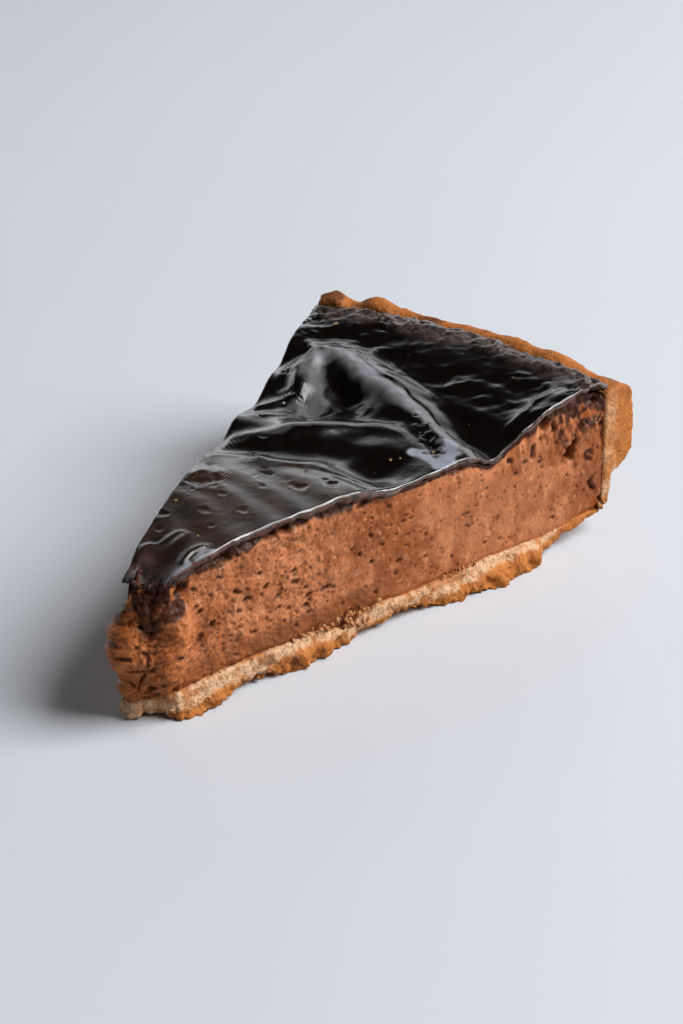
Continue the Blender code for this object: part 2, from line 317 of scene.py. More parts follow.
def acrossRidge(x, y):  # distance outward from the main fold's crest, and share of the fold's length
    ridge = glaze["ridge"]
    best, side, share = nearestOn(ridge["line"], x, y)
    return -np.sign(side) * np.sqrt(best) / curveThrough(ridge["spread"], share), share


def ridgeHeight(x, y):
    outward, share = acrossRidge(x, y)
    return curveThrough(glaze["ridge"]["section"], outward) * curveThrough(glaze["ridge"]["strength"], share)


def glazeHeight(x, y, detail=True):
    zones, waves = glaze["zones"], glaze["waves"]
    radius = np.hypot(x, y)
    turn = np.clip(np.arctan2(y, x) / tart["halfAngle"], -1, 1)
    front, left = curveThrough(glaze["frontEdge"], radius), curveThrough(glaze["leftEdge"], radius)
    height = front + (left - front) * smoothStep(-1, 1, turn)
    edgeDistance = radius * np.sin(tart["halfAngle"] * (1 - np.abs(turn)))
    inside = smoothStep(0, glaze["edgeRun"], edgeDistance)
    deep = smoothStep(*glaze["backRun"], edgeDistance) * smoothStep(*zones["back"], radius)
    height = height + deep * (curveThrough(glaze["backLine"], radius) - height)
    for cx, cy, rise, reach in glaze["swells"]:
        height = height + inside * rise * np.exp(-((x - cx) ** 2 + (y - cy) ** 2) / reach**2)
    if not detail:
        return height
    wavy = asPoints(x, y, 0)
    x, y = x + relief(wavy, waves["driftX"]), y + relief(wavy, waves["driftY"])
    lifted = ridgeHeight(x, y)
    low, high, loss = glaze["foldSharing"]
    for fold in glaze["folds"].values():
        rise = foldHeight(fold, x, y)
        lifted = lifted + rise * (1 - loss * smoothStep(low, high, lifted) * (rise > 0))
    height = height + lifted * (glaze["edgeShare"] + (1 - glaze["edgeShare"]) * inside)
    flat = asPoints(x, y, 0)
    plateau = 1 - smoothStep(*zones["plateau"], radius)
    rise, spacing, lean = glaze["ripples"]
    warp = relief(flat, waves["rippleWarp"])
    height = height + plateau * rise * np.sin(2 * math.pi * (x + warp - lean * y) / spacing)
    height = height + (1 - glaze["plateauCalm"] * plateau) * relief(flat, waves["soft"])
    # streaks stretched along the slice
    along = asPoints(x * 0.9 + y * 0.5, (y - 0.5 * x) * 0.35, 0)
    streaks = relief(along, waves["streaks"]) + relief(flat, waves["streakGrain"])
    height = height + smoothStep(*zones["streaks"], radius) * streaks
    rim = smoothStep(*zones["rim"], radius + relief(flat, waves["rimEdge"]))
    height = height + rim * (glaze["rimRise"] + relief(flat, waves["rimLumps"]))
    for px, py, size in glaze["pits"]:  # a dent with a low raised edge
        away = np.hypot(x - px, (y - py) * 0.7) / size * (1 + 0.5 * lumps(flat, 1.3, 37))
        height = height - 0.30 * size * np.exp(-(away**2)) + 0.05 * size * np.exp(-((away - 1.5) ** 2) * 2)
    for px, py, size in glaze["specks"]:
        away = np.hypot(x - px, y - py) / size * (1 + 0.5 * lumps(flat, 0.9, 38))
        height = height - 0.35 * size * np.exp(-(away**2.5))
    # the broken tip: the skin gives way to torn crumb
    torn = 1 - smoothStep(*zones["torn"], radius + relief(flat, waves["tornEdge"]))
    height = height + torn * (relief(flat, waves["tornLumps"]) - glaze["tornDrop"])
    # and near the corner by the rim
    corner = 1 - smoothStep(*glaze["cornerRun"], edgeDistance + relief(flat, waves["cornerEdge"]))
    return height + smoothStep(*zones["corner"], radius) * corner * relief(flat, waves["cornerLumps"])


def paintedSheenAt(flat):  # share of painted grey sheen on the skin, a painted highlight
    x = flat[:, 0] + 0.5 * lumps(flat, 2.0, 24)
    y = flat[:, 1] + 0.5 * lumps(flat, 2.0, 25)
    outward, share = acrossRidge(x, y)
    ends = smoothStep(0.0, 0.06, share) * (1 - smoothStep(0.9, 1.0, share))
    crest = smoothStep(-1.9, 0.1, outward) * (1 - smoothStep(2.2, 2.7, outward))
    shelf = smoothStep(2.9, 3.4, outward) * (1 - smoothStep(4.0, 6.0, outward))
    shelf = shelf * (1 + 0.6 * lumps(flat, 3, 26))
    paintedSheen = ends * (glaze["crestSheen"] * crest + glaze["shelfSheen"] * shelf)
    for line, reach, strength in glaze["paintedSheen"].values():
        best = nearestOn(line, x, y)[0]
        near = 1 - smoothStep(0.45, 1.0, np.sqrt(best) / reach + 0.3 * lumps(flat, 1.6, 27))
        paintedSheen = np.maximum(paintedSheen, near * strength)
    for px, py, size in glaze["specks"]:
        away = np.hypot(flat[:, 0] - px, flat[:, 1] - py) / size * (1 + 0.6 * lumps(flat, 0.8, 28))
        paintedSheen = paintedSheen * smoothStep(0.75, 1.05, away)
    return np.clip(paintedSheen * (1 + 0.25 * lumps(flat, 1.2, 29)), 0, 1)


def sliceRing(sideSteps, endSteps, wall):  # radius and turn round the slice: front cut, tip, left cut, back
    ends = [tipRadius(np.array(t)) for t in (-1.0, 1.0)]
    front = np.linspace(wall, ends[0], sideSteps + 1)[:-1]
    left = np.linspace(ends[1], wall, sideSteps + 1)[:-1]
    across = np.linspace(-1, 1, endSteps + 1)[:-1]
    radius = np.concatenate([front, tipRadius(across), left, np.full(endSteps, wall)])
    turn = np.concatenate([np.full(sideSteps, -1.0), across, np.full(sideSteps, 1.0), -across])
    return radius, turn


def outwardOf(x, y):
    alongX, alongY = np.roll(x, -1) - np.roll(x, 1), np.roll(y, -1) - np.roll(y, 1)
    length = np.hypot(alongX, alongY)
    return -alongY / length, alongX / length


def capFaces(ring, ringXY, sideSteps, endSteps, step, height, start, upward):
    # closes a ring with a coarse grid that follows height(x, y); ring holds the vertex numbers
    rows, columns = sideSteps // step, endSteps // step
    total = len(ring)
    grid = np.zeros((rows + 1, columns + 1), int)
    points = []
    for i in range(rows + 1):
        for j in range(columns + 1):
            frontAt, leftAt = i * step, (2 * sideSteps + endSteps - i * step) % total
            if i == rows:
                grid[i, j] = ring[sideSteps + j * step]
            elif i == 0:
                grid[i, j] = ring[(total - j * step) % total]
            elif j == 0:
                grid[i, j] = ring[frontAt]
            elif j == columns:
                grid[i, j] = ring[leftAt]
            else:
                share = j / columns
                x, y = ringXY[frontAt] * (1 - share) + ringXY[leftAt] * share
                grid[i, j] = start + len(points)
                points.append((x, y, float(height(np.array(x), np.array(y)))))
    faces = []
    for i in range(rows):
        for j in range(columns):
            face = [grid[i, j]]
            if j == 0:
                face += list(ring[i * step + 1:(i + 1) * step])
            face.append(grid[i + 1, j])
            if i == rows - 1:
                face += list(ring[sideSteps + j * step + 1:sideSteps + (j + 1) * step])
            face.append(grid[i + 1, j + 1])
            if j == columns - 1:
                last = 2 * sideSteps + endSteps
                face += list(ring[last - (i + 1) * step + 1:last - i * step])
            face.append(grid[i, j + 1])
            if i == 0:
                face += list(ring[total - (j + 1) * step + 1:total - j * step])
            faces.append([int(v) for v in (face if upward else face[::-1])])
    return points, faces


def stripFaces(rings):  # quads between rings of vertex numbers, outside facing out for rings laid downwards
    faces = []
    for upper, lower in zip(rings, rings[1:]):
        quads = np.stack([upper, np.roll(upper, -1), np.roll(lower, -1), lower], axis=-1)
        faces += quads.tolist()
    return faces


def makeGlaze():
    sideSteps, endSteps = glaze["sideSteps"], glaze["endSteps"]
    zones, waves = glaze["zones"], glaze["waves"]
    turn = np.linspace(-1, 1, endSteps + 1)[None, :]
    share = np.linspace(0, 1, sideSteps + 1)[:, None]
    gap, lessAtFront = glaze["tipGap"]
    ragged = gap - lessAtFront * (1 - smoothStep(-1, -0.3, turn)) + swings(turn, glaze["tipLine"])
    radius = (tipRadius(turn) + ragged) * (1 - share) + tart["wall"] * share
    x, y = plan(radius, turn)
    z = glazeHeight(x, y)
    count = (sideSteps + 1) * (endSteps + 1)
    number = np.arange(count).reshape(sideSteps + 1, endSteps + 1)
    quads = np.stack([number[:-1, :-1], number[1:, :-1], number[1:, 1:], number[:-1, 1:]], axis=-1)
    faces = quads.reshape(-1, 4).tolist()
    ring = np.concatenate([number[::-1, 0][:-1], number[0, :-1], number[:-1, -1], number[-1, ::-1][:-1]])
    points = asPoints(x, y, z).reshape(-1, 3)
    edge = points[ring]
    outX, outY = outwardOf(edge[:, 0], edge[:, 1])
    ringRadius = np.hypot(edge[:, 0], edge[:, 1])
    free = np.ones(len(ring))
    free[2 * sideSteps + endSteps:] = 0  # the wall holds the skin at the back
    lostAtBack, leftAtTip = glaze["thinner"]
    thickness = tart["glazeThickness"] * (1 + relief(edge, waves["thickness"]))
    thickness = thickness * (1 - lostAtBack * smoothStep(*zones["thinBack"], ringRadius) * free)
    thickness = thickness * (leftAtTip + (1 - leftAtTip) * smoothStep(*zones["thinTip"], ringRadius))
    rings, layers = [ring], [points]
    lipRough = relief(edge, waves["lip"])
    for outward, drop in glaze["lip"]:
        reach = outward * (0.25 + 0.75 * smoothStep(*zones["tuckedLip"], ringRadius))
        shift = free * (reach * thickness + lipRough * 0.35 * min(1, drop * 2))
        dropped = drop * thickness * (1 + 0.5 * lipRough * min(1, drop))
        ringPoints = edge + asPoints(outX * shift, outY * shift, -dropped)
        rings.append(np.arange(len(ring)) + sum(len(layer) for layer in layers))
        layers.append(ringPoints)
    faces += stripFaces(rings)

    def underside(px, py):
        return glazeHeight(px, py, detail=False) - 3.0

    start = sum(len(layer) for layer in layers)
    inner, capped = capFaces(rings[-1], layers[-1][:, :2], sideSteps, endSteps, glaze["capStep"], underside,
                             start, upward=False)
    layers.append(np.array(inner))
    faces += capped
    allPoints = np.concatenate(layers)
    flat = asPoints(allPoints[:, 0], allPoints[:, 1], 0)
    far = np.hypot(allPoints[:, 0], allPoints[:, 1])

    def onLip(shares, along):  # a mask with one share for each ring of the curled edge
        mask = np.zeros(len(allPoints))
        mask[count:count + len(ring) * len(shares)] = np.outer(shares, free * along).ravel()
        return mask

    tornLooks, wetLooks = glaze["lipLooks"]
    lip = onLip(tornLooks, 1.0)
    fleck = np.zeros(len(allPoints))
    for px, py, size in glaze["flecks"]:
        away = np.hypot(flat[:, 0] - px, flat[:, 1] - py) / size * (1 + 0.4 * lumps(flat, 0.5, 50))
        fleck = np.maximum(fleck, 1 - smoothStep(0.8, 1.2, away))
    masks = {
        "lip": lip,
        "rimBand": smoothStep(*zones["rimBand"], far + relief(flat, waves["bandEdge"])),
        "plateau": 1 - smoothStep(*zones["warmPlateau"], far + relief(flat, waves["plateauEdge"])),
        "crumbly": 1 - smoothStep(*zones["crumbly"], far + relief(flat, waves["crumblyEdge"])),
        "wet": onLip(wetLooks, smoothStep(-0.5, 0.2, lumps(edge, 4, 51))),  # the edge gleams in places
        "fleck": fleck,
        "lipFar": lip * smoothStep(*zones["greyLip"], far),
        # painted highlight: grey sheen that stands in for reflections
        "paintedSheen": paintedSheenAt(flat) * (1 - lip),
    }
    piece = makePiece("glazeSkin", allPoints, faces, masks)
    print("glaze skin:", len(faces), "faces")
    return piece


filling = {
    "sideSteps": 408,
    "endSteps": 36,
    "capStep": 4,
    "levels": 92,
    # how far the tip face stands out at each height: (height, bulge)
    "tipBulge": [(3, -0.4), (6, 0.6), (9, 1.8), (13, 2.6), (18, 2.5), (20.5, 1.4), (23, -0.4), (27, -1.3),
                 (31, -2.0)],
    # open holes on the front cut: radius, height, half width, half height, depth, lean
    "holes": [
        (110.5, 20.3, 1.5, 2.3, 3.0, 0.5), (103.4, 29.2, 0.7, 1.8, 1.6, 0.1),
        (105.8, 27.4, 0.7, 1.2, 1.3, -0.2), (117.0, 29.6, 0.9, 0.8, 1.4, 0.0),
        (114.6, 30.2, 0.6, 0.5, 1.0, 0.3), (117.0, 11.0, 0.6, 1.1, 1.2, -0.6),
        (100.2, 24.3, 0.5, 1.6, 0.9, 0.0), (116.0, 18.5, 1.0, 1.1, 0.9, 0.3),
        (94.5, 24.0, 0.9, 0.6, 0.7, 0.2), (96.0, 20.8, 0.7, 0.4, 0.6, 0.0),
        (21.5, 19.5, 1.0, 0.7, 1.2, 0.0), (17.5, 24.5, 1.3, 0.6, 1.3, 0.2),
        (24.0, 15.8, 0.8, 0.8, 1.0, 0.4), (58.5, 27.2, 1.6, 0.5, 1.0, 0.4),
        (39.0, 28.6, 3.4, 0.5, 1.4, -0.05), (27.0, 27.4, 1.4, 0.8, 1.2, 0.1),
        (81.5, 26.2, 2.2, 0.45, 0.9, 0.25),
    ],
    # depth of the browned band under the skin: (radius, depth)
    "bakedDepth": [(10, 2.6), (30, 2.1), (46, 1.7), (60, 1.8), (64, 0.7), (94, 0.6), (103, 1.8), (118, 4.0)],
    # how light the cut is along the slice: (radius, share)
    "lightness": [(10, 0.8), (25, 0.9), (40, 1.3), (52, 0.7), (63, 0.2), (76, 0.75), (100, 0.85),
                  (109, 0.6), (118, 0.1)],
    "pores": 2600,
    # share of the pores kept: (up to this radius, share)
    "poreShares": [(48, 1.0), (76, 0.75), (130, 0.5)],
    "poreSizes": (0.16, 0.95),  # smallest and largest radius
    "denseFoot": (10, 62, 0.35),  # below this height and within this radius, this share of the pores is kept
    "crumbs": 520,
    "crumbSizes": (0.18, 0.13),  # smallest radius and mean excess
    "crumbKinds": (0.45, 0.6),  # up to the first share pale, up to the second glowing, the rest plain
    # radii, and then heights, over which each zone starts or ends
    "zones": {"roundTip": (16, 24), "coarse": (38, 66), "thinBand": (58, 64), "dragIn": (91, 96),
              "dragOut": (106, 109), "corner": (104, 109), "dense": (56, 70)},
    "heights": {"dragged": (20.5, 24), "corner": (17, 24), "bakedTip": (15, 22), "glow": (13, 18),
                "dense": (9.0, 11.0)},
    # noise on the cut faces: (rise, lump size, seed)
    "waves": {
        "broad": [(0.35, 16, 51), (0.12, 6, 52)],
        "gaps": [(1.0, 5, 60)],
        "tip": [(0.9, 4, 58)],
        "tornDepth": [(0.8, 5, 61)],
        "cornerEdge": [(2.5, 5, 68)],
        "bakedDepth": [(0.7, 4, 71), (0.4, 1.6, 74)],
        "tornTip": [(0.45, 3.5, 85), (0.2, 1.5, 86)],
        "bakedTip": [(4, 5, 72)],
        "glow": [(1.0, 2.8, 76)],
        "dense": [(0.8, 6, 73)],
        "blotchy": [(1.0, 2.4, 79), (0.4, 1.1, 81)],
        "cornerEmber": [(1.0, 2.2, 82)],
        "scattered": [(1.0, 3.2, 84)],
        "milky": [(0.45, 9, 75), (0.3, 3.5, 77)],
        "ember": [(1.0, 4, 83)],
        "coarse": [(0.2, 7, 78)],
    },
}


def fillingTop(x, y):
    return glazeHeight(x, y, detail=False) - 0.75 * tart["glazeThickness"]


def baseTopAt(radius, turn):
    level = tart["baseTop"] + 0.9 * smoothStep(100, 118, radius) - 2.0 * (1 - smoothStep(9, 16, radius))
    atCut = 1 - smoothStep(-0.96, -0.7, turn)
    return level + atCut * (curveThrough(tart["baseLine"], radius) - level)


def stamp(s, heights, centre, halfWidth, halfHeight, lean, wobble):
    # columns touched, and how far each of their points is from the centre: 1 on the rim
    reach = max(halfWidth, halfHeight) * 1.7
    low, high = np.searchsorted(s, (centre[0] - reach, centre[0] + reach))
    if high <= low:
        return slice(0, 0), None
    columns = slice(low, high)
    across = s[columns][:, None] - centre[0]
    upward = heights[columns] - centre[1]
    across = across + lean * upward
    away = np.hypot(across / halfWidth, upward / halfHeight)
    return columns, away * (1 + 0.35 * wobble[columns])


def scatterPores(rng, heights, s, radius, bottom, top, length, wobble, out, poreShade):
    smallest, largest = filling["poreSizes"]
    footHeight, footRadius, footShare = filling["denseFoot"]
    for _ in range(filling["pores"]):
        at = rng.uniform(0, length)
        column = min(np.searchsorted(s, at), len(s) - 1)
        far = radius[column]
        busy = next(share for limit, share in filling["poreShares"] if far < limit)
        height = rng.uniform(bottom[column] + 0.8, top[column] - 0.4)
        if height < footHeight and far < footRadius:
            busy *= footShare
        size = smallest + rng.exponential(0.15 if far < 50 else 0.1)
        if rng.random() > busy:
            continue
        size = min(size, largest)
        squash = rng.uniform(0.55, 1.1)
        columns, away = stamp(s, heights, (at, height), size, size * squash, rng.uniform(-0.6, 0.6), wobble)
        if away is None:
            continue
        dent = 1 - smoothStep(0.55, 1.15, away)
        out[columns] -= size * rng.uniform(0.7, 1.3) * dent
        # painted shade: each pore is darkened inside its dent
        poreShade[columns] = np.maximum(poreShade[columns], dent * min(1, 0.35 + size))


def scatterGrains(rng, heights, s, radius, bottom, top, length, wobble, out, fleck, ember):
    smallest, excess = filling["crumbSizes"]
    paleShare, emberShare = filling["crumbKinds"]
    for _ in range(filling["crumbs"]):
        at = rng.uniform(0, length)
        column = min(np.searchsorted(s, at), len(s) - 1)
        height = bottom[column] + (top[column] - bottom[column]) * rng.beta(1.1, 1.2)
        size = smallest + rng.exponential(excess)
        if radius[column] > 50 and rng.random() > 0.5:
            continue
        columns, away = stamp(s, heights, (at, height), size, size * rng.uniform(0.6, 1.2),
                              rng.uniform(-0.5, 0.5), wobble)
        if away is None:
            continue
        bump = 1 - smoothStep(0.3, 1.2, away)
        out[columns] += size * 0.8 * bump
        kind = rng.random()
        if kind < paleShare:
            fleck[columns] = np.maximum(fleck[columns], bump * rng.uniform(0.3, 1))
        elif kind < emberShare:
            ember[columns] = np.maximum(ember[columns], bump)


def makeFilling():
    sideSteps, endSteps, levels = filling["sideSteps"], filling["endSteps"], filling["levels"]
    zones, spans, waves = filling["zones"], filling["heights"], filling["waves"]
    front = tart["wall"] - 0.1
    radius, turn = sliceRing(sideSteps, endSteps, front)
    x, y = plan(radius, turn)
    nearTip = 1 - smoothStep(*zones["roundTip"], radius)
    for _ in range(30):
        x = x + nearTip * 0.5 * ((np.roll(x, 1) + np.roll(x, -1)) / 2 - x)
        y = y + nearTip * 0.5 * ((np.roll(y, 1) + np.roll(y, -1)) / 2 - y)
    outX, outY = outwardOf(x, y)
    s = np.concatenate([[0], np.cumsum(np.hypot(np.diff(x), np.diff(y)))])
    tipStart, tipEnd = s[sideSteps], s[sideSteps + endSteps]
    top, bottom = fillingTop(x, y), baseTopAt(radius, turn) - 0.15
    share = np.linspace(0, 1, levels + 1)[None, :]
    z = bottom[:, None] * (1 - share) + top[:, None] * share
    shown = np.ones(len(s))
    shown[2 * sideSteps + endSteps:] = 0  # the hidden back stays smooth
    place = asPoints(x[:, None], y[:, None], z)
    below = top[:, None] - z  # depth under the glaze
    above = z - bottom[:, None]
    rough = 1 - smoothStep(*zones["coarse"], radius)[:, None]
    tipShare = (1 - smoothStep(0, 7, np.maximum(tipStart - s, s - tipEnd)))[:, None]

    out = relief(place, waves["broad"])
    out += (0.10 + 0.26 * rough) * roughLumps(place, 2.6, 53, 2)
    out += (0.03 + 0.10 * rough) * roughLumps(place, 0.9, 56, 2)
    warped = place + 0.9 * np.stack([lumps(place, 1.8, seed) for seed in (46, 47, 48)], axis=-1)
    chunks, grains = crumbCells(warped, 4.2, 57), crumbCells(warped, 1.9, 58)
    fine = crumbCells(place, 1.0, 59)
    # cracks between chunks
    gap = (1 - smoothStep(0.0, 0.16, chunks)) * smoothStep(-0.1, 0.5, relief(place, waves["gaps"]))
    out += tipShare * (curveThrough(filling["tipBulge"], z) + relief(place, waves["tip"]) - 1.1 * gap)
    out += (0.4 * tipShare + 0.18 * rough) * (np.sqrt(grains) - 0.6)
    out += (0.04 + 0.10 * rough) * (np.sqrt(fine) - 0.6)
    # torn band under the skin
    nearFront = 0.35 + 0.65 * (1 - smoothStep(*zones["thinBand"], radius)[:, None])
    torn = (1 - smoothStep(1.1, 2.6, below + relief(place, waves["tornDepth"]))) * nearFront
    out -= torn * (0.35 + 0.55 * np.abs(lumps(place, 1.5, 62)) + 0.5 * (1 - grains))
    # furrows dragged by the knife near the back
    far = smoothStep(*zones["dragIn"], radius) * (1 - smoothStep(*zones["dragOut"], radius))
    dragged = far[:, None] * smoothStep(*spans["dragged"], z + 2.0 * lumps(place * (1, 1, 0.2), 2.0, 64))
    drag = lumps(place * (1, 1, 0.16), 1.25, 65)
    out += dragged * (0.55 * drag + 0.2 * lumps(place * (1, 1, 0.4), 0.7, 66))
    # the corner by the rim is dry and crumbly
    corner = smoothStep(*zones["corner"], radius)[:, None]
    corner = corner * smoothStep(*spans["corner"], z + relief(place, waves["cornerEdge"]))
    out += corner * (0.7 * (np.sqrt(grains) - 0.65) + 0.45 * (np.sqrt(chunks) - 0.7))
    # the foot is drawn in over the base
    out -= 0.35 * (1 - smoothStep(0, 1.2, above))
    out *= shown[:, None]

    wobble = lumps(place, 1.1, 67)
    poreShade, fleck, ember = np.zeros_like(z), np.zeros_like(z), np.zeros_like(z)
    length = s[2 * sideSteps + endSteps]
    rng = np.random.default_rng(17)
    scatterPores(rng, z, s, radius, bottom, top, length, wobble, out, poreShade)
    scatterGrains(rng, z, s, radius, bottom, top, length, wobble, out, fleck, ember)
    for far, height, halfWidth, halfHeight, depth, lean in filling["holes"]:
        columns, away = stamp(s, z, (front - far, height), halfWidth, halfHeight, lean, wobble * 1.3)
        dent = 1 - smoothStep(0.7, 1.2, away)
        out[columns] -= depth * dent
        # painted shade: the holes are darkened inside their dents
        poreShade[columns] = np.maximum(poreShade[columns], dent)
    print("filling: pores and crumbs set")

    # the browned band under the skin: deeper at the tip half and at the corner by the rim; painted shade
    # darkens the cracks and gaps between crumbs in the same mask
    reach = curveThrough(filling["bakedDepth"], radius)[:, None] * (1 + relief(place, waves["bakedDepth"]))
    bakedTop = 1 - smoothStep(0.35, 1.15, (below - 0.7) / np.maximum(reach, 0.2))
    tornTip = smoothStep(0.5, 0.95, tipShare + relief(place, waves["tornTip"]))
    bakedTip = tornTip * smoothStep(*spans["bakedTip"], z + relief(place, waves["bakedTip"]))
    glow = tipShare * smoothStep(0.1, 0.45, relief(place, waves["glow"])) * smoothStep(*spans["glow"], z)
    bakedTip = bakedTip * (1.25 - 0.5 * chunks) * (1 - 0.85 * glow)
    # painted shade: the cracks between chunks at the tip are darkened like the browned band
    bakedTip = np.maximum(bakedTip, 0.8 * tipShare * gap)
    # painted shade: the gaps between grains near the top are darkened
    crackShade = 0.4 * rough * (1 - smoothStep(0.0, 0.25, grains)) * (below < 7)
    bake = np.clip(np.maximum(bakedTop, bakedTip) + crackShade, 0, 1)
    blotchy = smoothStep(0.0, 0.5, relief(place, waves["blotchy"]))
    # the crumbly corner: browned blotches, with painted shade in the gaps between chunks
    bake = np.maximum(bake, corner * np.maximum(0.75 * blotchy, 1 - smoothStep(0.05, 0.3, chunks)))
    dense = 1 - smoothStep(*spans["dense"], z + relief(place, waves["dense"]))
    dense = dense * (1 - smoothStep(*zones["dense"], radius)[:, None])
    scattered = smoothStep(0.05, 0.4, relief(place, waves["scattered"]))
    glowing = [
        ember,
        dragged * smoothStep(0.05, 0.6, -drag) * 0.9,
        corner * smoothStep(0.0, 0.45, relief(place, waves["cornerEmber"])) * 0.6,
        glow,
        0.6 * tipShare + 0.25 * rough * smoothStep(0.1, 0.6, relief(place, waves["ember"])),
    ]
    lightness = curveThrough(filling["lightness"], radius)[:, None]
    looks = {
        # painted shade: pores, holes and the gaps between fine crumbs are darkened
        "poreShade": np.maximum(poreShade, 0.6 * rough * scattered * (1 - smoothStep(0.03, 0.22, fine))),
        "fleck": fleck,
        "ember": np.maximum.reduce(np.broadcast_arrays(*glowing)),
        "bake": bake,
        "dense": dense,
        "milky": np.clip(lightness + relief(place, waves["milky"]), 0, 1.4),
        "coarse": np.clip(0.4 + 0.6 * rough + relief(place, waves["coarse"]), 0.1, 1),
    }

    points = asPoints(x[:, None] + outX[:, None] * out, y[:, None] + outY[:, None] * out, z)
    number = np.arange(z.size).reshape(z.shape)
    rings = [number[:, level] for level in range(levels, -1, -1)]
    faces = stripFaces(rings)
    flatPoints = points.reshape(-1, 3)

    def hiddenTop(px, py):
        return fillingTop(px, py) - 1.6

    def hiddenFloor(px, py):
        return baseTopAt(np.hypot(px, py), np.arctan2(py, px) / tart["halfAngle"]) - 0.15

    layers = [flatPoints]
    for ring, surface, upward in ((rings[0], hiddenTop, True), (rings[-1], hiddenFloor, False)):
        start = sum(len(layer) for layer in layers)
        inner, capped = capFaces(ring, flatPoints[ring][:, :2], sideSteps, endSteps, filling["capStep"],
                                 surface, start, upward)
        layers.append(np.array(inner))
        faces += capped
    hidden = np.zeros(len(layers[1]) + len(layers[2]))
    masks = {label: np.concatenate([values.ravel(), hidden]) for label, values in looks.items()}
    piece = makePiece("chocolateFilling", np.concatenate(layers), faces, masks)
    print("chocolate filling:", len(piece.data.polygons), "faces")
    return piece


crust = {
    "heel": 120.0,  # inner face of the wall below its lip
    "skin": 2.3,
    "lipRadius": 125.4,
    "lipAtFront": (3.0, 0.2),  # how much further the lip stands out at the front cut, and its width
    "lipFoot": 12.0,
    "rimTop": 32.0,
    "rimLine": [(-1.0, -1.4), (-0.75, -0.8), (-0.55, 0.6), (-0.43, 0.2), (-0.28, 0.6), (0.0, 0.1),
                (0.25, 0.3), (0.5, 0.8), (0.64, 2.3), (0.8, 0.4), (0.92, 2.0), (1.0, 0.9)],
    "frontUnderside": [(10, 1.2), (13, 0.5), (17, 0.0), (24, 0.2), (26.5, 1.2), (29, 2.3), (32, 2.4),
                       (36, 1.4), (38.5, 0), (50, 0), (56, 0.5), (60, 1.5), (70, 1.3), (77, 0.2), (90, 0),
                       (99, 0), (105, 0.6)],
    "leftUnderside": [(10, 1.0), (16, 0.8), (26, 0), (34, 1.4), (44, 0), (64, 1.2), (74, 0.2), (86, 1),
                      (95, 0)],
    # how far the crumbly foot of the front cut stands out: (radius, reach)
    "foot": [(14, 0.3), (24, 0.9), (28, 0.0), (37, 0.1), (42, 1.2), (50, 1.0), (55, 0.2), (72, 0.1),
             (80, 1.0), (93, 2.6), (100, 2.0), (104, 0.4), (115, 0.2)],
    "heelCurl": [(100, 0.0), (105, 0.5), (110, 1.9), (115, 3.1), (122, 4.3)],
    # outer face of the wall: shares of the lip's reach and height
    "bulge": [(0.6, 0.05), (0.86, 0.15), (0.97, 0.3), (1.0, 0.45), (0.98, 0.65), (0.9, 0.84), (0.8, 0.95)],
    "swings": {"tip": [(0.3, 9, 0)], "lip": [(0.35, 9, 1.0), (0.25, 17, 0)], "foot": [(1.2, 7, 2.5)]},
    "ledge": 0.7,  # how far the base stands out past the filling
    "wander": (0.45, 9, 8),  # how far the cuts wander sideways, and over what radius and height
    # radii over which each zone starts
    "zones": {"wall": (116, 118), "outerWall": (121.5, 123.5), "heel": (117, 119), "ledgeEnd": (118, 119.5),
              "rim": (119, 121), "brownTip": (14, 19), "brownDip": (38, 64), "brownHeel": (84, 90)},
    # heights over which each zone starts or ends
    "heights": {"wall": (7, 10), "base": (6.5, 8.5), "low": (1.2, 3.4), "foot": (1.6, 4.2), "rim": (26.5, 30),
                "toastedRim": (31.3, 33.5), "brownWall": (9, 12), "brownPatches": (9, 13)},
    # distances in from the cuts and the tip over which each zone ends
    "depths": {"side": (-0.3, 0.9), "tip": (-0.2, 1.2), "edge": (0.5, 2.5)},
    "grain": (0.6, 0.9, 0.1),  # height of the broken edge's lumps, crumbs and swell
    "wallGrain": (0.22, 0.16),  # height of the wall's lumps and pressed striations
    "brownUp": 0.5,  # how far the browning reaches up into the base, and what each zone adds
    "brownMore": {"brownTip": 1.6, "brownDip": -0.8, "brownHeel": 0.7},
    "turnSteps": 170,
    "voxel": 0.42,
    # noise on the pastry: (rise, lump size, seed)
    "waves": {
        "lowPart": [(0.9, 4, 81)],
        "footHeight": [(0.7, 3, 80)],
        "footReach": [(0.5, 2.5, 79)],
        "brownEdge": [(1.1, 6, 90)],
        "paleEdge": [(0.7, 3.2, 92), (0.5, 1.3, 93)],
        "paleBreaks": [(1.0, 2.0, 94)],
        "wallBrown": [(1.0, 3.0, 95)],
        "toastAndGapShade": [(0.5, 7, 95), (0.35, 2.2, 96)],
        "rimEdge": [(0.8, 3, 97)],
    },
}


def undersideAt(radius, turn):
    nearEdge = np.maximum(smoothStep(0.82, 1.0, np.abs(turn)), 1 - smoothStep(15, 23, radius))
    broken = curveThrough(crust["frontUnderside"] if turn < 0 else crust["leftUnderside"], radius)
    return np.maximum(nearEdge * broken, 0) + np.maximum(curveThrough(crust["heelCurl"], radius), 0)


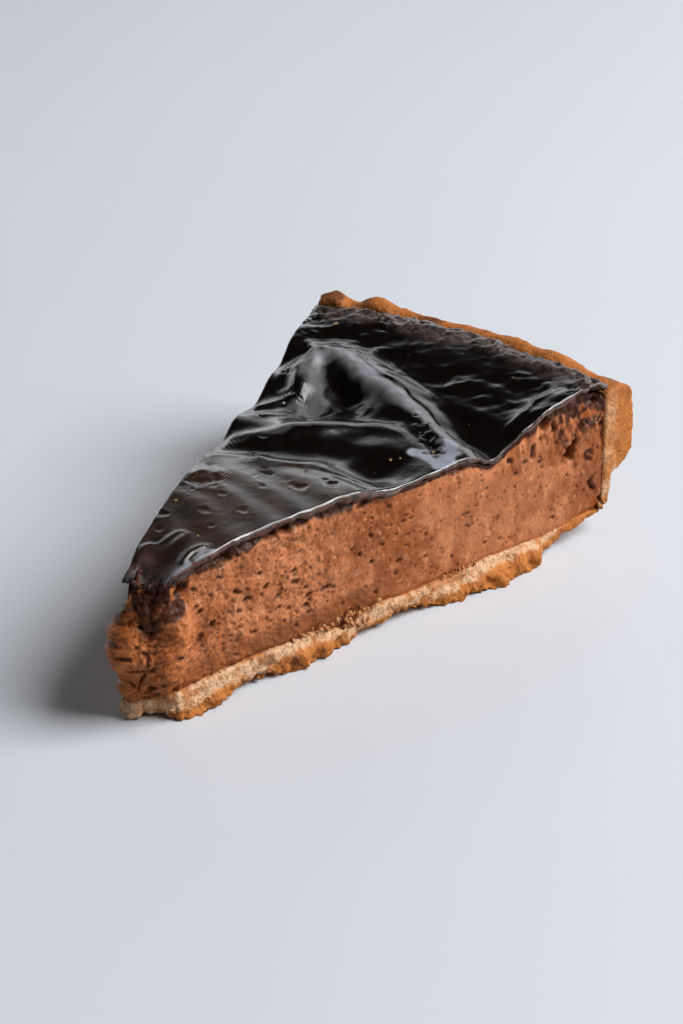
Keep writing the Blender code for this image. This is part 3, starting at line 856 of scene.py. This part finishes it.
def crustSection(turn):  # closed (radius, height) line: underside, skin, lip, rim, inner wall, base top
    tip = float(tipRadius(np.array(turn))) + swings(turn, crust["swings"]["tip"])
    rim = crust["rimTop"] + float(curveThrough(crust["rimLine"], np.array(turn)))
    further, width = crust["lipAtFront"]
    lip = crust["lipRadius"] + swings(turn, crust["swings"]["lip"])
    lip = lip + further * math.exp(-(((turn + 1) / width) ** 2))
    foot = crust["lipFoot"] + swings(turn, crust["swings"]["foot"]) * (1 - abs(turn))
    heel, skin, thick = crust["heel"], crust["skin"], lip - crust["heel"]
    floor = np.linspace(tip, heel, 120)
    under = list(zip(floor, undersideAt(floor, turn)))
    out = [(heel + skin * s, h) for s, h in ((0.8, tart["baseTop"] + 0.4), (1.0, foot * 0.75), (1.15, foot))]
    out += [(heel + thick * s, foot + (rim - foot) * h) for s, h in crust["bulge"]]
    middle = (tart["wall"] + heel + thick * 0.8) / 2
    top = [(middle + 0.6, rim), (middle - 0.7, rim - 0.1), (tart["wall"] + 0.4, rim - 0.7)]
    levels = np.linspace(rim - 1.5, tart["baseTop"] + 1.1, 20)
    narrow = 1 - smoothStep(crust["lipFoot"] - 1, crust["lipFoot"] + 6, levels)
    inner = list(zip(tart["wall"] + (heel - tart["wall"]) * narrow, levels))
    floorTop = list(zip(floor[::-1], baseTopAt(floor[::-1], turn)))
    return under + out + top + inner + floorTop


def voxelMesh(piece, voxel):
    modifier = piece.modifiers.new("evenMesh", "REMESH")
    modifier.mode = "VOXEL"
    modifier.voxel_size = voxel * mm
    evaluated = piece.evaluated_get(bpy.context.evaluated_depsgraph_get())
    even = bpy.data.meshes.new_from_object(evaluated)
    points = np.empty(len(even.vertices) * 3)
    even.vertices.foreach_get("co", points)
    normals = np.empty(len(even.vertices) * 3)
    even.vertices.foreach_get("normal", normals)
    faces = [tuple(face.vertices) for face in even.polygons]
    points = points.reshape(-1, 3) / mm
    points[:, :2] -= tart["centre"]
    bpy.data.objects.remove(piece, do_unlink=True)
    bpy.data.meshes.remove(even)
    return points, normals.reshape(-1, 3), faces


def makeCrust():
    waves, zones, spans, depths = crust["waves"], crust["zones"], crust["heights"], crust["depths"]
    rings = []
    for turn in np.sin(np.linspace(-math.pi / 2, math.pi / 2, crust["turnSteps"] + 1)):
        section = np.array(crustSection(float(turn)))
        x, y = plan(section[:, 0], turn)
        rise, overRadius, overHeight = crust["wander"]
        wander = rise * np.sin(section[:, 0] / overRadius + turn)
        wander = wander * np.sin(section[:, 1] / overHeight + 1.3 * turn)
        ledge = crust["ledge"] * (1 - 0.7 * smoothStep(*zones["ledgeEnd"], section[:, 0]))
        shift = abs(turn) ** 6 * (wander + np.sign(turn) * ledge)
        angle = turn * tart["halfAngle"]
        rings.append(asPoints(x - np.sin(angle) * shift, y + np.cos(angle) * shift, section[:, 1]))
    count = len(rings[0])
    numbers = [np.arange(count) + k * count for k in range(len(rings))]
    faces = stripFaces(numbers) + [numbers[0].tolist(), numbers[-1][::-1].tolist()]
    rough = makePiece("crustRough", np.concatenate(rings), faces)
    points, normals, faces = voxelMesh(rough, crust["voxel"])

    x, y, z = points.T
    radius, angle = np.hypot(x, y), np.arctan2(y, x)
    turn = np.clip(angle / tart["halfAngle"], -1.1, 1.1)
    toCut = radius * np.sin(tart["halfAngle"] * (1 - np.abs(turn)))  # distance in from the nearer cut
    toTip = radius - tipRadius(np.clip(turn, -1, 1))
    sideFace = 1 - smoothStep(*depths["side"], toCut)
    tipFace = 1 - smoothStep(*depths["tip"], toTip)
    baseEdge = 1 - smoothStep(*depths["edge"], np.minimum(toCut, toTip))
    inBase = 1 - smoothStep(*spans["base"], z) * smoothStep(*zones["heel"], radius)
    lowPart = 1 - smoothStep(*spans["low"], z + relief(points, waves["lowPart"]))
    footReach = curveThrough(crust["foot"], radius) * sideFace * (turn < 0) * inBase
    footReach *= 1 - smoothStep(*spans["foot"], z + relief(points, waves["footHeight"]))
    footReach *= 1 + relief(points, waves["footReach"])
    # broken grain on the base, pressed striations on the wall
    crumbly = baseEdge * inBase * (0.35 + 0.65 * lowPart)
    grains = np.sqrt(crumbCells(points, 1.5, 83))
    lumpRise, crumbRise, swell = crust["grain"]
    out = crumbly * (lumpRise * roughLumps(points, 2.8, 82, 2) + crumbRise * (grains - 0.55) + swell)
    wall = smoothStep(*zones["wall"], radius) * smoothStep(*spans["wall"], z)
    striations = lumps(asPoints(angle * 125, radius * 0.3, z * 0.18), 1.1, 85)
    outerWall = wall * smoothStep(*zones["outerWall"], radius)
    wallRise, striationRise = crust["wallGrain"]
    out += wallRise * wall * roughLumps(points, 4.0, 86, 3) + striationRise * outerWall * striations
    out += 0.05 * roughLumps(points, 1.1, 89, 2)
    flatUnder = (1 - smoothStep(0.0, 0.25, z)) * (1 - baseEdge)
    points = points + normals * (out * (1 - flatUnder))[:, None]
    cutOut = np.array([-math.sin(tart["halfAngle"]), -math.cos(tart["halfAngle"]), 0])
    points = points + footReach[:, None] * cutOut
    points[:, 2] = np.maximum(points[:, 2], 0)

    # crumb stays pale inside: below the filling, and within the wall up to where its outer side browned
    outerDepth = np.where(radius > 118.5, 124.0 - radius, 9)
    brownUp = crust["brownUp"] + relief(points, waves["brownEdge"])
    for zone, more in crust["brownMore"].items():
        brownUp = brownUp + more * smoothStep(*zones[zone], radius)
    underDepth = z - brownUp - curveThrough(crust["heelCurl"], radius) * inBase - footReach
    depth = np.minimum(outerDepth, underDepth) + relief(points, waves["paleEdge"])
    pale = np.maximum(sideFace, tipFace) * smoothStep(0.0, 1.1, depth)
    pale *= 1 - 0.75 * smoothStep(0.15, 0.5, relief(points, waves["paleBreaks"]))
    # the wall is browned further in than the base
    patches = smoothStep(-0.25, 0.25, relief(points, waves["wallBrown"]))
    patches = patches * smoothStep(*spans["brownPatches"], points[:, 2])
    pale *= 1 - 0.45 * smoothStep(*spans["brownWall"], points[:, 2]) - 0.35 * patches
    rimTop = smoothStep(*spans["rim"], z + relief(points, waves["rimEdge"]))
    rimTop = rimTop * smoothStep(*zones["rim"], radius)
    # painted shade: the gaps between crumbs on the broken edge are darkened along with the toasting
    toastAndGapShade = 0.35 + relief(points, waves["toastAndGapShade"]) + 0.6 * crumbly * (0.55 - grains)
    toastAndGapShade = np.clip(toastAndGapShade + 0.35 * rimTop * smoothStep(*spans["toastedRim"], z), 0, 1)
    piece = makePiece("pastryCrust", points, faces, {"pale": pale, "toastAndGapShade": toastAndGapShade, "rimTop": rimTop})
    print("pastry crust:", len(faces), "faces")
    return piece


crumbs = {
    # clusters of loose crumbs: radius on the front cut, height, spread, count, size
    "clusters": [(46, 6.0, 5.0, 14, 0.42), (55, 5.8, 5.0, 20, 0.5), (57, 3.5, 4.0, 10, 0.5),
                 (20, 1.5, 6.0, 20, 0.45), (40, 1.2, 8.0, 18, 0.42), (95, 1.2, 5.0, 26, 0.5),
                 (80, 5.2, 8.0, 10, 0.35), (120, 6.5, 1.2, 8, 0.45)],
}


def makeCrumbs():
    rng = np.random.default_rng(5)
    ball = bpy.data.meshes.new("crumbBall")
    shape = bmesh.new()
    bmesh.ops.create_icosphere(shape, subdivisions=2, radius=1.0)
    shape.to_mesh(ball)
    shape.free()
    unit = np.array([tuple(v.co) for v in ball.vertices])
    unitFaces = [tuple(p.vertices) for p in ball.polygons]
    bpy.data.meshes.remove(ball)
    points, faces, toastAndGapShade = [], [], []
    sine, cosine = math.sin(tart["halfAngle"]), math.cos(tart["halfAngle"])
    outward, along = np.array([-sine, -cosine, 0]), np.array([cosine, -sine, 0])  # of the front cut
    for far, height, spread, count, size in crumbs["clusters"]:
        for _ in range(count):
            radius = far + rng.normal(0, spread / 2)
            own = size * rng.uniform(0.5, 1.15)
            z = max(own * 0.6, height + rng.normal(0, 0.55))
            middle = along * radius + outward * (0.45 + rng.uniform(-0.2, 0.35)) + np.array([0, 0, z])
            turned = unit * rng.uniform(0.7, 1.2, 3)
            turned = turned * (1 + 0.28 * lumps(turned + rng.uniform(0, 50), 0.7, 3)[:, None])
            spin = np.array(Matrix.Rotation(rng.uniform(0, 6.28), 3, Vector(rng.normal(size=3))))
            faces += [tuple(v + len(points) * len(unit) for v in face) for face in unitFaces]
            points.append(middle + own * turned @ spin)
            toastAndGapShade.append(np.full(len(unit), rng.uniform(0.1, 0.9)))
    allPoints = np.concatenate(points)
    allPoints[:, 2] = np.maximum(allPoints[:, 2], 0.02)
    toastAndGapShade = np.concatenate(toastAndGapShade)
    masks = {"pale": 0.6 * (1 - toastAndGapShade), "toastAndGapShade": toastAndGapShade, "rimTop": np.zeros(len(toastAndGapShade))}
    piece = makePiece("looseCrumbs", allPoints, faces, masks)
    print("loose crumbs:", len(faces), "faces")
    return piece


def addNode(tree, kind, **settings):
    node = tree.nodes.new(kind)
    for key, value in settings.items():
        setattr(node, key, value)
    return node


def connect(tree, source, target):
    if isinstance(source, (int, float)):
        target.default_value = source
    elif isinstance(source, tuple):
        target.default_value = (*source, 1.0)[:len(target.default_value)]
    else:
        tree.links.new(source, target)


def mathOf(tree, operation, *values, clamp=False):
    node = addNode(tree, "ShaderNodeMath", operation=operation, use_clamp=clamp)
    for n, value in enumerate(values):
        connect(tree, value, node.inputs[n])
    return node.outputs[0]


def scaled(tree, value, amount):
    return mathOf(tree, "MULTIPLY", value, amount)


def remap(tree, value, low, high, toLow=0.0, toHigh=1.0):
    node = addNode(tree, "ShaderNodeMapRange", interpolation_type="SMOOTHSTEP")
    for n, item in enumerate((value, low, high, toLow, toHigh)):
        connect(tree, item, node.inputs[n])
    return node.outputs[0]


def blendColour(tree, share, first, second, how="MIX"):
    node = addNode(tree, "ShaderNodeMix", data_type="RGBA", blend_type=how)
    connect(tree, share, node.inputs[0])
    connect(tree, first, node.inputs[6])
    connect(tree, second, node.inputs[7])
    return node.outputs[2]


def noiseOf(tree, size, detail=3.0, roughness=0.55, stretch=(1, 1, 1), seed=0.0):  # size in mm
    place = addNode(tree, "ShaderNodeTexCoord").outputs["Object"]
    scaled = addNode(tree, "ShaderNodeMapping")
    scaled.inputs["Scale"].default_value = [k / (size * mm) for k in stretch]
    scaled.inputs["Location"].default_value = (seed, seed * 1.7, seed * 0.6)
    tree.links.new(place, scaled.inputs[0])
    noise = addNode(tree, "ShaderNodeTexNoise", noise_dimensions="3D")
    noise.inputs["Scale"].default_value = 1.0
    noise.inputs["Detail"].default_value = detail
    noise.inputs["Roughness"].default_value = roughness
    tree.links.new(scaled.outputs[0], noise.inputs["Vector"])
    return noise.outputs["Fac"]


def maskOf(tree, label):
    return addNode(tree, "ShaderNodeAttribute", attribute_name=label).outputs["Fac"]


def newSockets(group, inputs, outputs):
    for label, kind, value in inputs:
        socket = group.interface.new_socket(label, in_out="INPUT", socket_type=kind)
        if value is not None:
            socket.default_value = value
    for label, kind in outputs:
        group.interface.new_socket(label, in_out="OUTPUT", socket_type=kind)


def makeSpeckGroup():  # scattered round specks, such as crumbs of sugar or tiny bubbles
    group = bpy.data.node_groups.new("scatteredSpecks", "ShaderNodeTree")
    newSockets(group, [("Size mm", "NodeSocketFloat", 1.0), ("Coverage", "NodeSocketFloat", 0.3)],
               [("Mask", "NodeSocketFloat"), ("Shade", "NodeSocketFloat")])
    enter, leave = addNode(group, "NodeGroupInput"), addNode(group, "NodeGroupOutput")
    place = addNode(group, "ShaderNodeTexCoord").outputs["Object"]
    scale = mathOf(group, "DIVIDE", 1.0 / mm, enter.outputs["Size mm"])
    cells = addNode(group, "ShaderNodeTexVoronoi", feature="F1")
    group.links.new(place, cells.inputs["Vector"])
    group.links.new(scale, cells.inputs["Scale"])
    cells.inputs["Randomness"].default_value = 1.0
    parts = addNode(group, "ShaderNodeSeparateColor")
    group.links.new(cells.outputs["Color"], parts.inputs[0])
    kept = mathOf(group, "LESS_THAN", parts.outputs[0], enter.outputs["Coverage"])
    reach = mathOf(group, "MULTIPLY_ADD", parts.outputs[1], 0.22, 0.14)
    inside = mathOf(group, "SUBTRACT", reach, cells.outputs["Distance"])
    dot = remap(group, inside, 0.0, 0.1)
    group.links.new(mathOf(group, "MULTIPLY", kept, dot), leave.inputs["Mask"])
    group.links.new(parts.outputs[2], leave.inputs["Shade"])
    return group


def makeGrainGroup():  # fine baked grain: a mottling mask and the height that goes with it
    group = bpy.data.node_groups.new("bakedGrain", "ShaderNodeTree")
    newSockets(group, [("Size mm", "NodeSocketFloat", 1.0), ("Contrast", "NodeSocketFloat", 1.0)],
               [("Mottle", "NodeSocketFloat"), ("Height", "NodeSocketFloat")])
    enter, leave = addNode(group, "NodeGroupInput"), addNode(group, "NodeGroupOutput")
    place = addNode(group, "ShaderNodeTexCoord").outputs["Object"]
    scale = mathOf(group, "DIVIDE", 1.0 / mm, enter.outputs["Size mm"])
    broad = addNode(group, "ShaderNodeTexNoise")
    group.links.new(place, broad.inputs["Vector"])
    group.links.new(scale, broad.inputs["Scale"])
    broad.inputs["Detail"].default_value = 5.0
    broad.inputs["Roughness"].default_value = 0.65
    fineScale = mathOf(group, "MULTIPLY", scale, 3.1)
    cells = addNode(group, "ShaderNodeTexVoronoi", feature="F1")
    group.links.new(place, cells.inputs["Vector"])
    group.links.new(fineScale, cells.inputs["Scale"])
    mixed = mathOf(group, "MULTIPLY_ADD", cells.outputs["Distance"], 0.35, broad.outputs["Fac"])
    centred = mathOf(group, "SUBTRACT", mixed, 0.62)
    swing = mathOf(group, "MULTIPLY", centred, enter.outputs["Contrast"])
    group.links.new(mathOf(group, "ADD", swing, 0.5, clamp=True), leave.inputs["Mottle"])
    group.links.new(mixed, leave.inputs["Height"])
    return group


def placeGroup(tree, group, **values):
    node = addNode(tree, "ShaderNodeGroup", node_tree=group)
    for label, value in values.items():
        node.inputs[label.replace("_", " ")].default_value = value
    return node


def bumpOf(tree, height, distance, strength=1.0, before=None):
    bump = addNode(tree, "ShaderNodeBump")
    bump.inputs["Strength"].default_value = strength
    bump.inputs["Distance"].default_value = distance * mm
    connect(tree, height, bump.inputs["Height"])
    if before:
        tree.links.new(before, bump.inputs["Normal"])
    return bump.outputs[0]


def newFinish(name):
    material = bpy.data.materials.new(name)
    material.use_nodes = True
    shader = material.node_tree.nodes["Principled BSDF"]
    return material, material.node_tree, shader


fillingFinish = {
    "main": (0.285, 0.075, 0.017),
    "light": (0.50, 0.176, 0.068),
    "milk": (0.64, 0.27, 0.125),
    "dense": (0.215, 0.062, 0.018),
    # browned colour, also laid as painted shade in the cracks and gaps
    "baked": (0.050, 0.012, 0.0035),
    # painted shade colour laid in the pores, holes and tiny dents
    "poreShade": (0.055, 0.014, 0.005),
    "fleck": (0.66, 0.38, 0.20),
    "ember": (0.46, 0.120, 0.018),
    "shade": (0.60, 0.47, 0.36),  # multiplies the colour in the hollows of the grain
    "grain": (2.4, 1.7),  # size in mm and contrast
    "tiny": (1.1, 0.36),  # size in mm and coverage
    "bright": (1.7, 0.16),
    "roughness": (0.55, 0.34),
    "specular": 0.18,
}


def finishFilling(grain, specks):
    look = fillingFinish
    material, tree, shader = newFinish("milk chocolate filling")
    broad = noiseOf(tree, 5.0, 4.0, 0.6, seed=2.0)
    grainNode = placeGroup(tree, grain, Size_mm=look["grain"][0], Contrast=look["grain"][1])
    mottle = grainNode.outputs["Mottle"]
    lightShare = mathOf(tree, "MULTIPLY_ADD", maskOf(tree, "milky"), 0.4, broad)
    colour = blendColour(tree, remap(tree, lightShare, 0.48, 0.95), look["main"], look["light"])
    shade = blendColour(tree, 1.0, colour, look["shade"], "MULTIPLY")
    colour = blendColour(tree, remap(tree, mottle, 0.5, 0.1), colour, shade)
    blotch = noiseOf(tree, 1.9, 3.0, 0.6, seed=9.0)
    colour = blendColour(tree, remap(tree, blotch, 0.52, 0.72, 0.0, 0.6), colour, look["milk"])
    colour = blendColour(tree, remap(tree, blotch, 0.47, 0.3, 0.0, 0.5), colour, shade)
    smear = noiseOf(tree, 2.6, 3.0, 0.55, stretch=(1, 1, 0.3), seed=3.0)
    colour = blendColour(tree, remap(tree, smear, 0.35, 0.7, 0.0, 0.6), colour, shade)
    colour = blendColour(tree, scaled(tree, maskOf(tree, "dense"), 0.9), colour, look["dense"])
    tiny = placeGroup(tree, specks, Size_mm=look["tiny"][0], Coverage=look["tiny"][1])
    # painted shade: the tiny dents are darkened with the pore colour
    pricked = scaled(tree, tiny.outputs["Mask"], maskOf(tree, "coarse"))
    colour = blendColour(tree, scaled(tree, pricked, 0.6), colour, look["poreShade"])
    bright = placeGroup(tree, specks, Size_mm=look["bright"][0], Coverage=look["bright"][1])
    pale = mathOf(tree, "MAXIMUM", scaled(tree, bright.outputs["Mask"], 0.45), maskOf(tree, "fleck"))
    colour = blendColour(tree, scaled(tree, pale, 0.6), colour, look["fleck"])
    colour = blendColour(tree, scaled(tree, maskOf(tree, "ember"), 0.75), colour, look["ember"])
    colour = blendColour(tree, scaled(tree, maskOf(tree, "poreShade"), 0.82), colour, look["poreShade"])
    baked = remap(tree, mathOf(tree, "MULTIPLY_ADD", broad, 0.3, maskOf(tree, "bake")), 0.25, 1.05)
    colour = blendColour(tree, baked, colour, look["baked"])
    connect(tree, colour, shader.inputs["Base Color"])
    connect(tree, remap(tree, mottle, 0.2, 0.8, *look["roughness"]), shader.inputs["Roughness"])
    shader.inputs["Specular IOR Level"].default_value = look["specular"]
    height = scaled(tree, grainNode.outputs["Height"], remap(tree, maskOf(tree, "coarse"), 0, 1, 0.3, 1))
    first = bumpOf(tree, height, 0.33, 1.0)
    connect(tree, bumpOf(tree, pricked, -0.25, 0.7, first), shader.inputs["Normal"])
    return material


glazeFinish = {
    "skin": (0.0022, 0.0011, 0.0007),
    "warm": (0.027, 0.0125, 0.0065),
    # painted highlight: grey and bluish sheen colours that stand in for reflections of the light
    "paintedSheen": (0.20, 0.193, 0.195),
    "paintedSheenWet": (0.235, 0.243, 0.29),
    "rimBand": (0.064, 0.040, 0.035),
    "lip": (0.008, 0.0032, 0.0024),
    "lipWarm": (0.095, 0.026, 0.007),
    "lipFar": (0.105, 0.050, 0.034),
    "crumbly": (0.060, 0.016, 0.005),
    "dust": (0.30, 0.19, 0.11),
    "fleck": (0.36, 0.25, 0.09),
    "grain": (2.2, 1.4),  # size in mm and contrast
    "dustSpecks": (0.9, 0.016),  # size in mm and coverage
    "roughness": (0.14, 0.25),  # between smeared and dull patches
    # what each zone adds to the roughness
    "rougher": {"plateau": 0.07, "paintedSheen": 0.4, "rimBand": 0.2, "crumbly": 0.5, "lip": 0.4, "wet": -0.1},
    "specular": 0.5,
    "coatRoughness": 0.06,
}


def finishGlaze(grain, specks):
    look = glazeFinish
    material, tree, shader = newFinish("dark chocolate glaze")
    broad = noiseOf(tree, 9.0, 3.0, 0.5, seed=4.0)
    warmShare = scaled(tree, maskOf(tree, "plateau"), remap(tree, broad, 0.35, 0.65, 0.25, 1.0))
    colour = blendColour(tree, warmShare, look["skin"], look["warm"])
    # painted highlight: the skin is lightened to a grey sheen that stands in for reflections
    paintedSheen = maskOf(tree, "paintedSheen")
    sheenColour = blendColour(tree, remap(tree, paintedSheen, 0.6, 0.9), look["paintedSheen"], look["paintedSheenWet"])
    colour = blendColour(tree, paintedSheen, colour, sheenColour)
    grainNode = placeGroup(tree, grain, Size_mm=look["grain"][0], Contrast=look["grain"][1])
    mottle = grainNode.outputs["Mottle"]
    band = scaled(tree, maskOf(tree, "rimBand"), remap(tree, mottle, 0.38, 0.68, 0.1, 0.9))
    colour = blendColour(tree, band, colour, look["rimBand"])
    torn = blendColour(tree, remap(tree, mottle, 0.35, 0.7), look["lip"], look["lipWarm"])
    colour = blendColour(tree, maskOf(tree, "lip"), colour, torn)
    greyed = remap(tree, scaled(tree, maskOf(tree, "lipFar"), mottle), 0.3, 0.6)
    colour = blendColour(tree, greyed, colour, look["lipFar"])
    crumb = blendColour(tree, remap(tree, mottle, 0.4, 0.7), look["skin"], look["crumbly"])
    colour = blendColour(tree, maskOf(tree, "crumbly"), colour, crumb)
    dust = placeGroup(tree, specks, Size_mm=look["dustSpecks"][0], Coverage=look["dustSpecks"][1])
    colour = blendColour(tree, scaled(tree, dust.outputs["Mask"], 0.4), colour, look["dust"])
    colour = blendColour(tree, maskOf(tree, "fleck"), colour, look["fleck"])
    connect(tree, colour, shader.inputs["Base Color"])
    smear = noiseOf(tree, 6.0, 2.0, 0.5, stretch=(1, 0.4, 1), seed=8.0)
    rough = remap(tree, smear, 0.3, 0.75, *look["roughness"])
    for label, extra in look["rougher"].items():
        rough = mathOf(tree, "MULTIPLY_ADD", maskOf(tree, label), extra, rough)
    connect(tree, rough, shader.inputs["Roughness"])
    shader.inputs["Specular IOR Level"].default_value = look["specular"]
    shader.inputs["Coat Roughness"].default_value = look["coatRoughness"]
    connect(tree, remap(tree, maskOf(tree, "wet"), 0.0, 1.0), shader.inputs["Coat Weight"])
    fineWrinkle = noiseOf(tree, 1.3, 3.0, 0.55, stretch=(1, 0.5, 1), seed=6.0)
    first = bumpOf(tree, fineWrinkle, 0.07, 0.35)
    connect(tree, bumpOf(tree, grainNode.outputs["Height"], 0.12, 0.25, first), shader.inputs["Normal"])
    return material


crustFinish = {
    "brown": (0.33, 0.098, 0.018),
    "golden": (0.45, 0.150, 0.027),
    # toasted colour, also laid as painted shade in the gaps of the broken edge
    "toastedAndGapShade": (0.10, 0.026, 0.006),
    "pale": (0.42, 0.195, 0.085),
    "cream": (0.62, 0.38, 0.22),
    "rim": (0.36, 0.112, 0.022),
    "shade": (0.55, 0.42, 0.3),  # multiplies the colour in the flecks
    "grain": (1.6, 1.6),  # size in mm and contrast
    "flecks": (1.3, 0.2),  # size in mm and coverage
    "roughness": (0.78, 0.58),
    "specular": 0.2,
}


def finishCrust(grain, specks):
    look = crustFinish
    material, tree, shader = newFinish("browned shortcrust pastry")
    grainNode = placeGroup(tree, grain, Size_mm=look["grain"][0], Contrast=look["grain"][1])
    mottle = grainNode.outputs["Mottle"]
    colour = blendColour(tree, remap(tree, mottle, 0.3, 0.7), look["brown"], look["golden"])
    colour = blendColour(tree, scaled(tree, maskOf(tree, "rimTop"), 0.75), colour, look["rim"])
    toastedAndGapShade = remap(tree, mathOf(tree, "MULTIPLY_ADD", mottle, 0.4, maskOf(tree, "toastAndGapShade")), 0.75, 1.3)
    colour = blendColour(tree, toastedAndGapShade, colour, look["toastedAndGapShade"])
    pale = blendColour(tree, remap(tree, mottle, 0.35, 0.65), look["pale"], look["cream"])
    colour = blendColour(tree, maskOf(tree, "pale"), colour, pale)
    flecks = placeGroup(tree, specks, Size_mm=look["flecks"][0], Coverage=look["flecks"][1])
    darker = blendColour(tree, 1.0, colour, look["shade"], "MULTIPLY")
    colour = blendColour(tree, scaled(tree, flecks.outputs["Mask"], 0.85), colour, darker)
    connect(tree, colour, shader.inputs["Base Color"])
    connect(tree, remap(tree, mottle, 0.2, 0.8, *look["roughness"]), shader.inputs["Roughness"])
    shader.inputs["Specular IOR Level"].default_value = look["specular"]
    first = bumpOf(tree, grainNode.outputs["Height"], 0.4, 0.9)
    connect(tree, bumpOf(tree, flecks.outputs["Mask"], -0.2, 0.6, first), shader.inputs["Normal"])
    return material


studio = {
    "floorSize": 6.0,
    "floorColour": (0.57, 0.59, 0.625),
    # brightness of the room by the sine of the height: a bright wall low down, dark overhead
    "sky": [(0.0, 2.0), (0.2, 1.7), (0.38, 1.0), (0.49, 0.5), (0.56, 0.12), (0.64, 0.015)],
    "skyBehind": 0.22,  # share of that brightness behind the camera
    "skyOnRough": 0.47,  # share of it that lights rough surfaces
    "keyPower": 23.5,
    "keySize": 0.8,
    "keyDistance": 1.15,
    "keyTurn": 86.0,  # degrees to the right of the camera, seen from the slice
    "keyHeight": 46.0,
    "keyColour": (0.97, 0.985, 1.0),
}

lens = {
    "aim": (92.61, 12.69),  # the point on the table at the middle of the view, mm from the tart's centre
    "heading": 33.79,
    "pitch": 29.25,
    "distance": 521.3,
    "focal": 91.4,
}


def makeFloor():
    size = studio["floorSize"] / 2
    corners = [(-size, -size, 0), (size, -size, 0), (size, size, 0), (-size, size, 0)]
    mesh = bpy.data.meshes.new("paleTable")
    mesh.from_pydata(corners, [], [(0, 1, 2, 3)])
    floor = bpy.data.objects.new("paleTable", mesh)
    bpy.context.scene.collection.objects.link(floor)
    material, tree, shader = newFinish("pale table top")
    cloud = noiseOf(tree, 160.0, 2.0, 0.5, seed=1.0)
    low, high = [tuple(level * k for k in studio["floorColour"]) for level in (0.97, 1.03)]
    connect(tree, blendColour(tree, cloud, low, high), shader.inputs["Base Color"])
    shader.inputs["Roughness"].default_value = 0.42
    shader.inputs["Specular IOR Level"].default_value = 0.3
    mesh.materials.append(material)


def makeSky():
    world = bpy.data.worlds.new("studioRoom")
    bpy.context.scene.world = world
    world.use_nodes = True
    tree = world.node_tree
    direction = addNode(tree, "ShaderNodeTexCoord").outputs["Generated"]
    parts = addNode(tree, "ShaderNodeSeparateXYZ")
    tree.links.new(direction, parts.inputs[0])
    ramp = addNode(tree, "ShaderNodeValToRGB")
    stops = ramp.color_ramp.elements
    while len(stops) < len(studio["sky"]):
        stops.new(1.0)
    for stop, (place, level) in zip(stops, studio["sky"]):
        stop.position = place
        stop.color = (level * 0.97, level, level * 1.03, 1)
    tree.links.new(parts.outputs[2], ramp.inputs[0])
    heading = math.radians(lens["heading"])
    ahead = mathOf(tree, "MULTIPLY", parts.outputs[0], math.cos(heading))
    ahead = mathOf(tree, "MULTIPLY_ADD", parts.outputs[1], math.sin(heading), ahead)
    tree.links.new(ramp.outputs[0], tree.nodes["Background"].inputs[0])
    onRough = addNode(tree, "ShaderNodeLightPath").outputs["Is Diffuse Ray"]
    dimmed = mathOf(tree, "MULTIPLY_ADD", onRough, studio["skyOnRough"] - 1.0, 1.0)
    level = mathOf(tree, "MULTIPLY", remap(tree, ahead, -0.2, 0.5, studio["skyBehind"], 1.0), dimmed)
    connect(tree, level, tree.nodes["Background"].inputs[1])


def makeLight():  # one soft window light
    angles = lens["heading"], studio["keyTurn"], studio["keyHeight"]
    heading, turn, height = [math.radians(angle) for angle in angles]
    toRight = Vector((math.sin(heading), -math.cos(heading), 0))
    toCamera = Vector((-math.cos(heading), -math.sin(heading), 0))
    flat = toRight * math.sin(turn) + toCamera * math.cos(turn)
    direction = flat * math.cos(height) + Vector((0, 0, math.sin(height)))
    light = bpy.data.lights.new("windowKey", "AREA")
    light.shape = "SQUARE"
    light.size = studio["keySize"]
    light.energy = studio["keyPower"]
    light.color = studio["keyColour"]
    lamp = bpy.data.objects.new("windowKey", light)
    lamp.location = direction * studio["keyDistance"]
    lamp.rotation_euler = (-direction).to_track_quat("-Z", "Y").to_euler()
    bpy.context.scene.collection.objects.link(lamp)


def makeCamera():
    heading, pitch = math.radians(lens["heading"]), math.radians(lens["pitch"])
    forward = Vector((math.cos(heading), math.sin(heading), 0)) * math.cos(pitch)
    forward.z = -math.sin(pitch)
    aim = Vector((*(np.array(lens["aim"]) + tart["centre"]), 0)) * mm
    data = bpy.data.cameras.new("sliceCamera")
    data.lens = lens["focal"]
    data.clip_start = 0.01
    camera = bpy.data.objects.new("sliceCamera", data)
    camera.location = aim - forward * lens["distance"] * mm
    camera.rotation_euler = forward.to_track_quat("-Z", "Y").to_euler()
    bpy.context.scene.collection.objects.link(camera)
    bpy.context.scene.camera = camera


def main():
    specks, grain = makeSpeckGroup(), makeGrainGroup()
    pieces = [
        (makeGlaze(), "glaze", "dark_glaze", finishGlaze(grain, specks)),
        (makeFilling(), "filling", "chocolate_filling", finishFilling(grain, specks)),
    ]
    crustLook = finishCrust(grain, specks)
    pieces.append((makeCrust(), "crust", "baked_pastry", crustLook))
    pieces.append((makeCrumbs(), None, "baked_pastry", crustLook))
    for piece, node, slot, material in pieces:
        piece.data.materials.append(material)
        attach(piece, "root")
        if node:
            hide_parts(node)
    makeFloor()
    makeSky()
    makeLight()
    makeCamera()
    bpy.context.scene.view_settings.view_transform = "Standard"
    print("scene ready")


main()
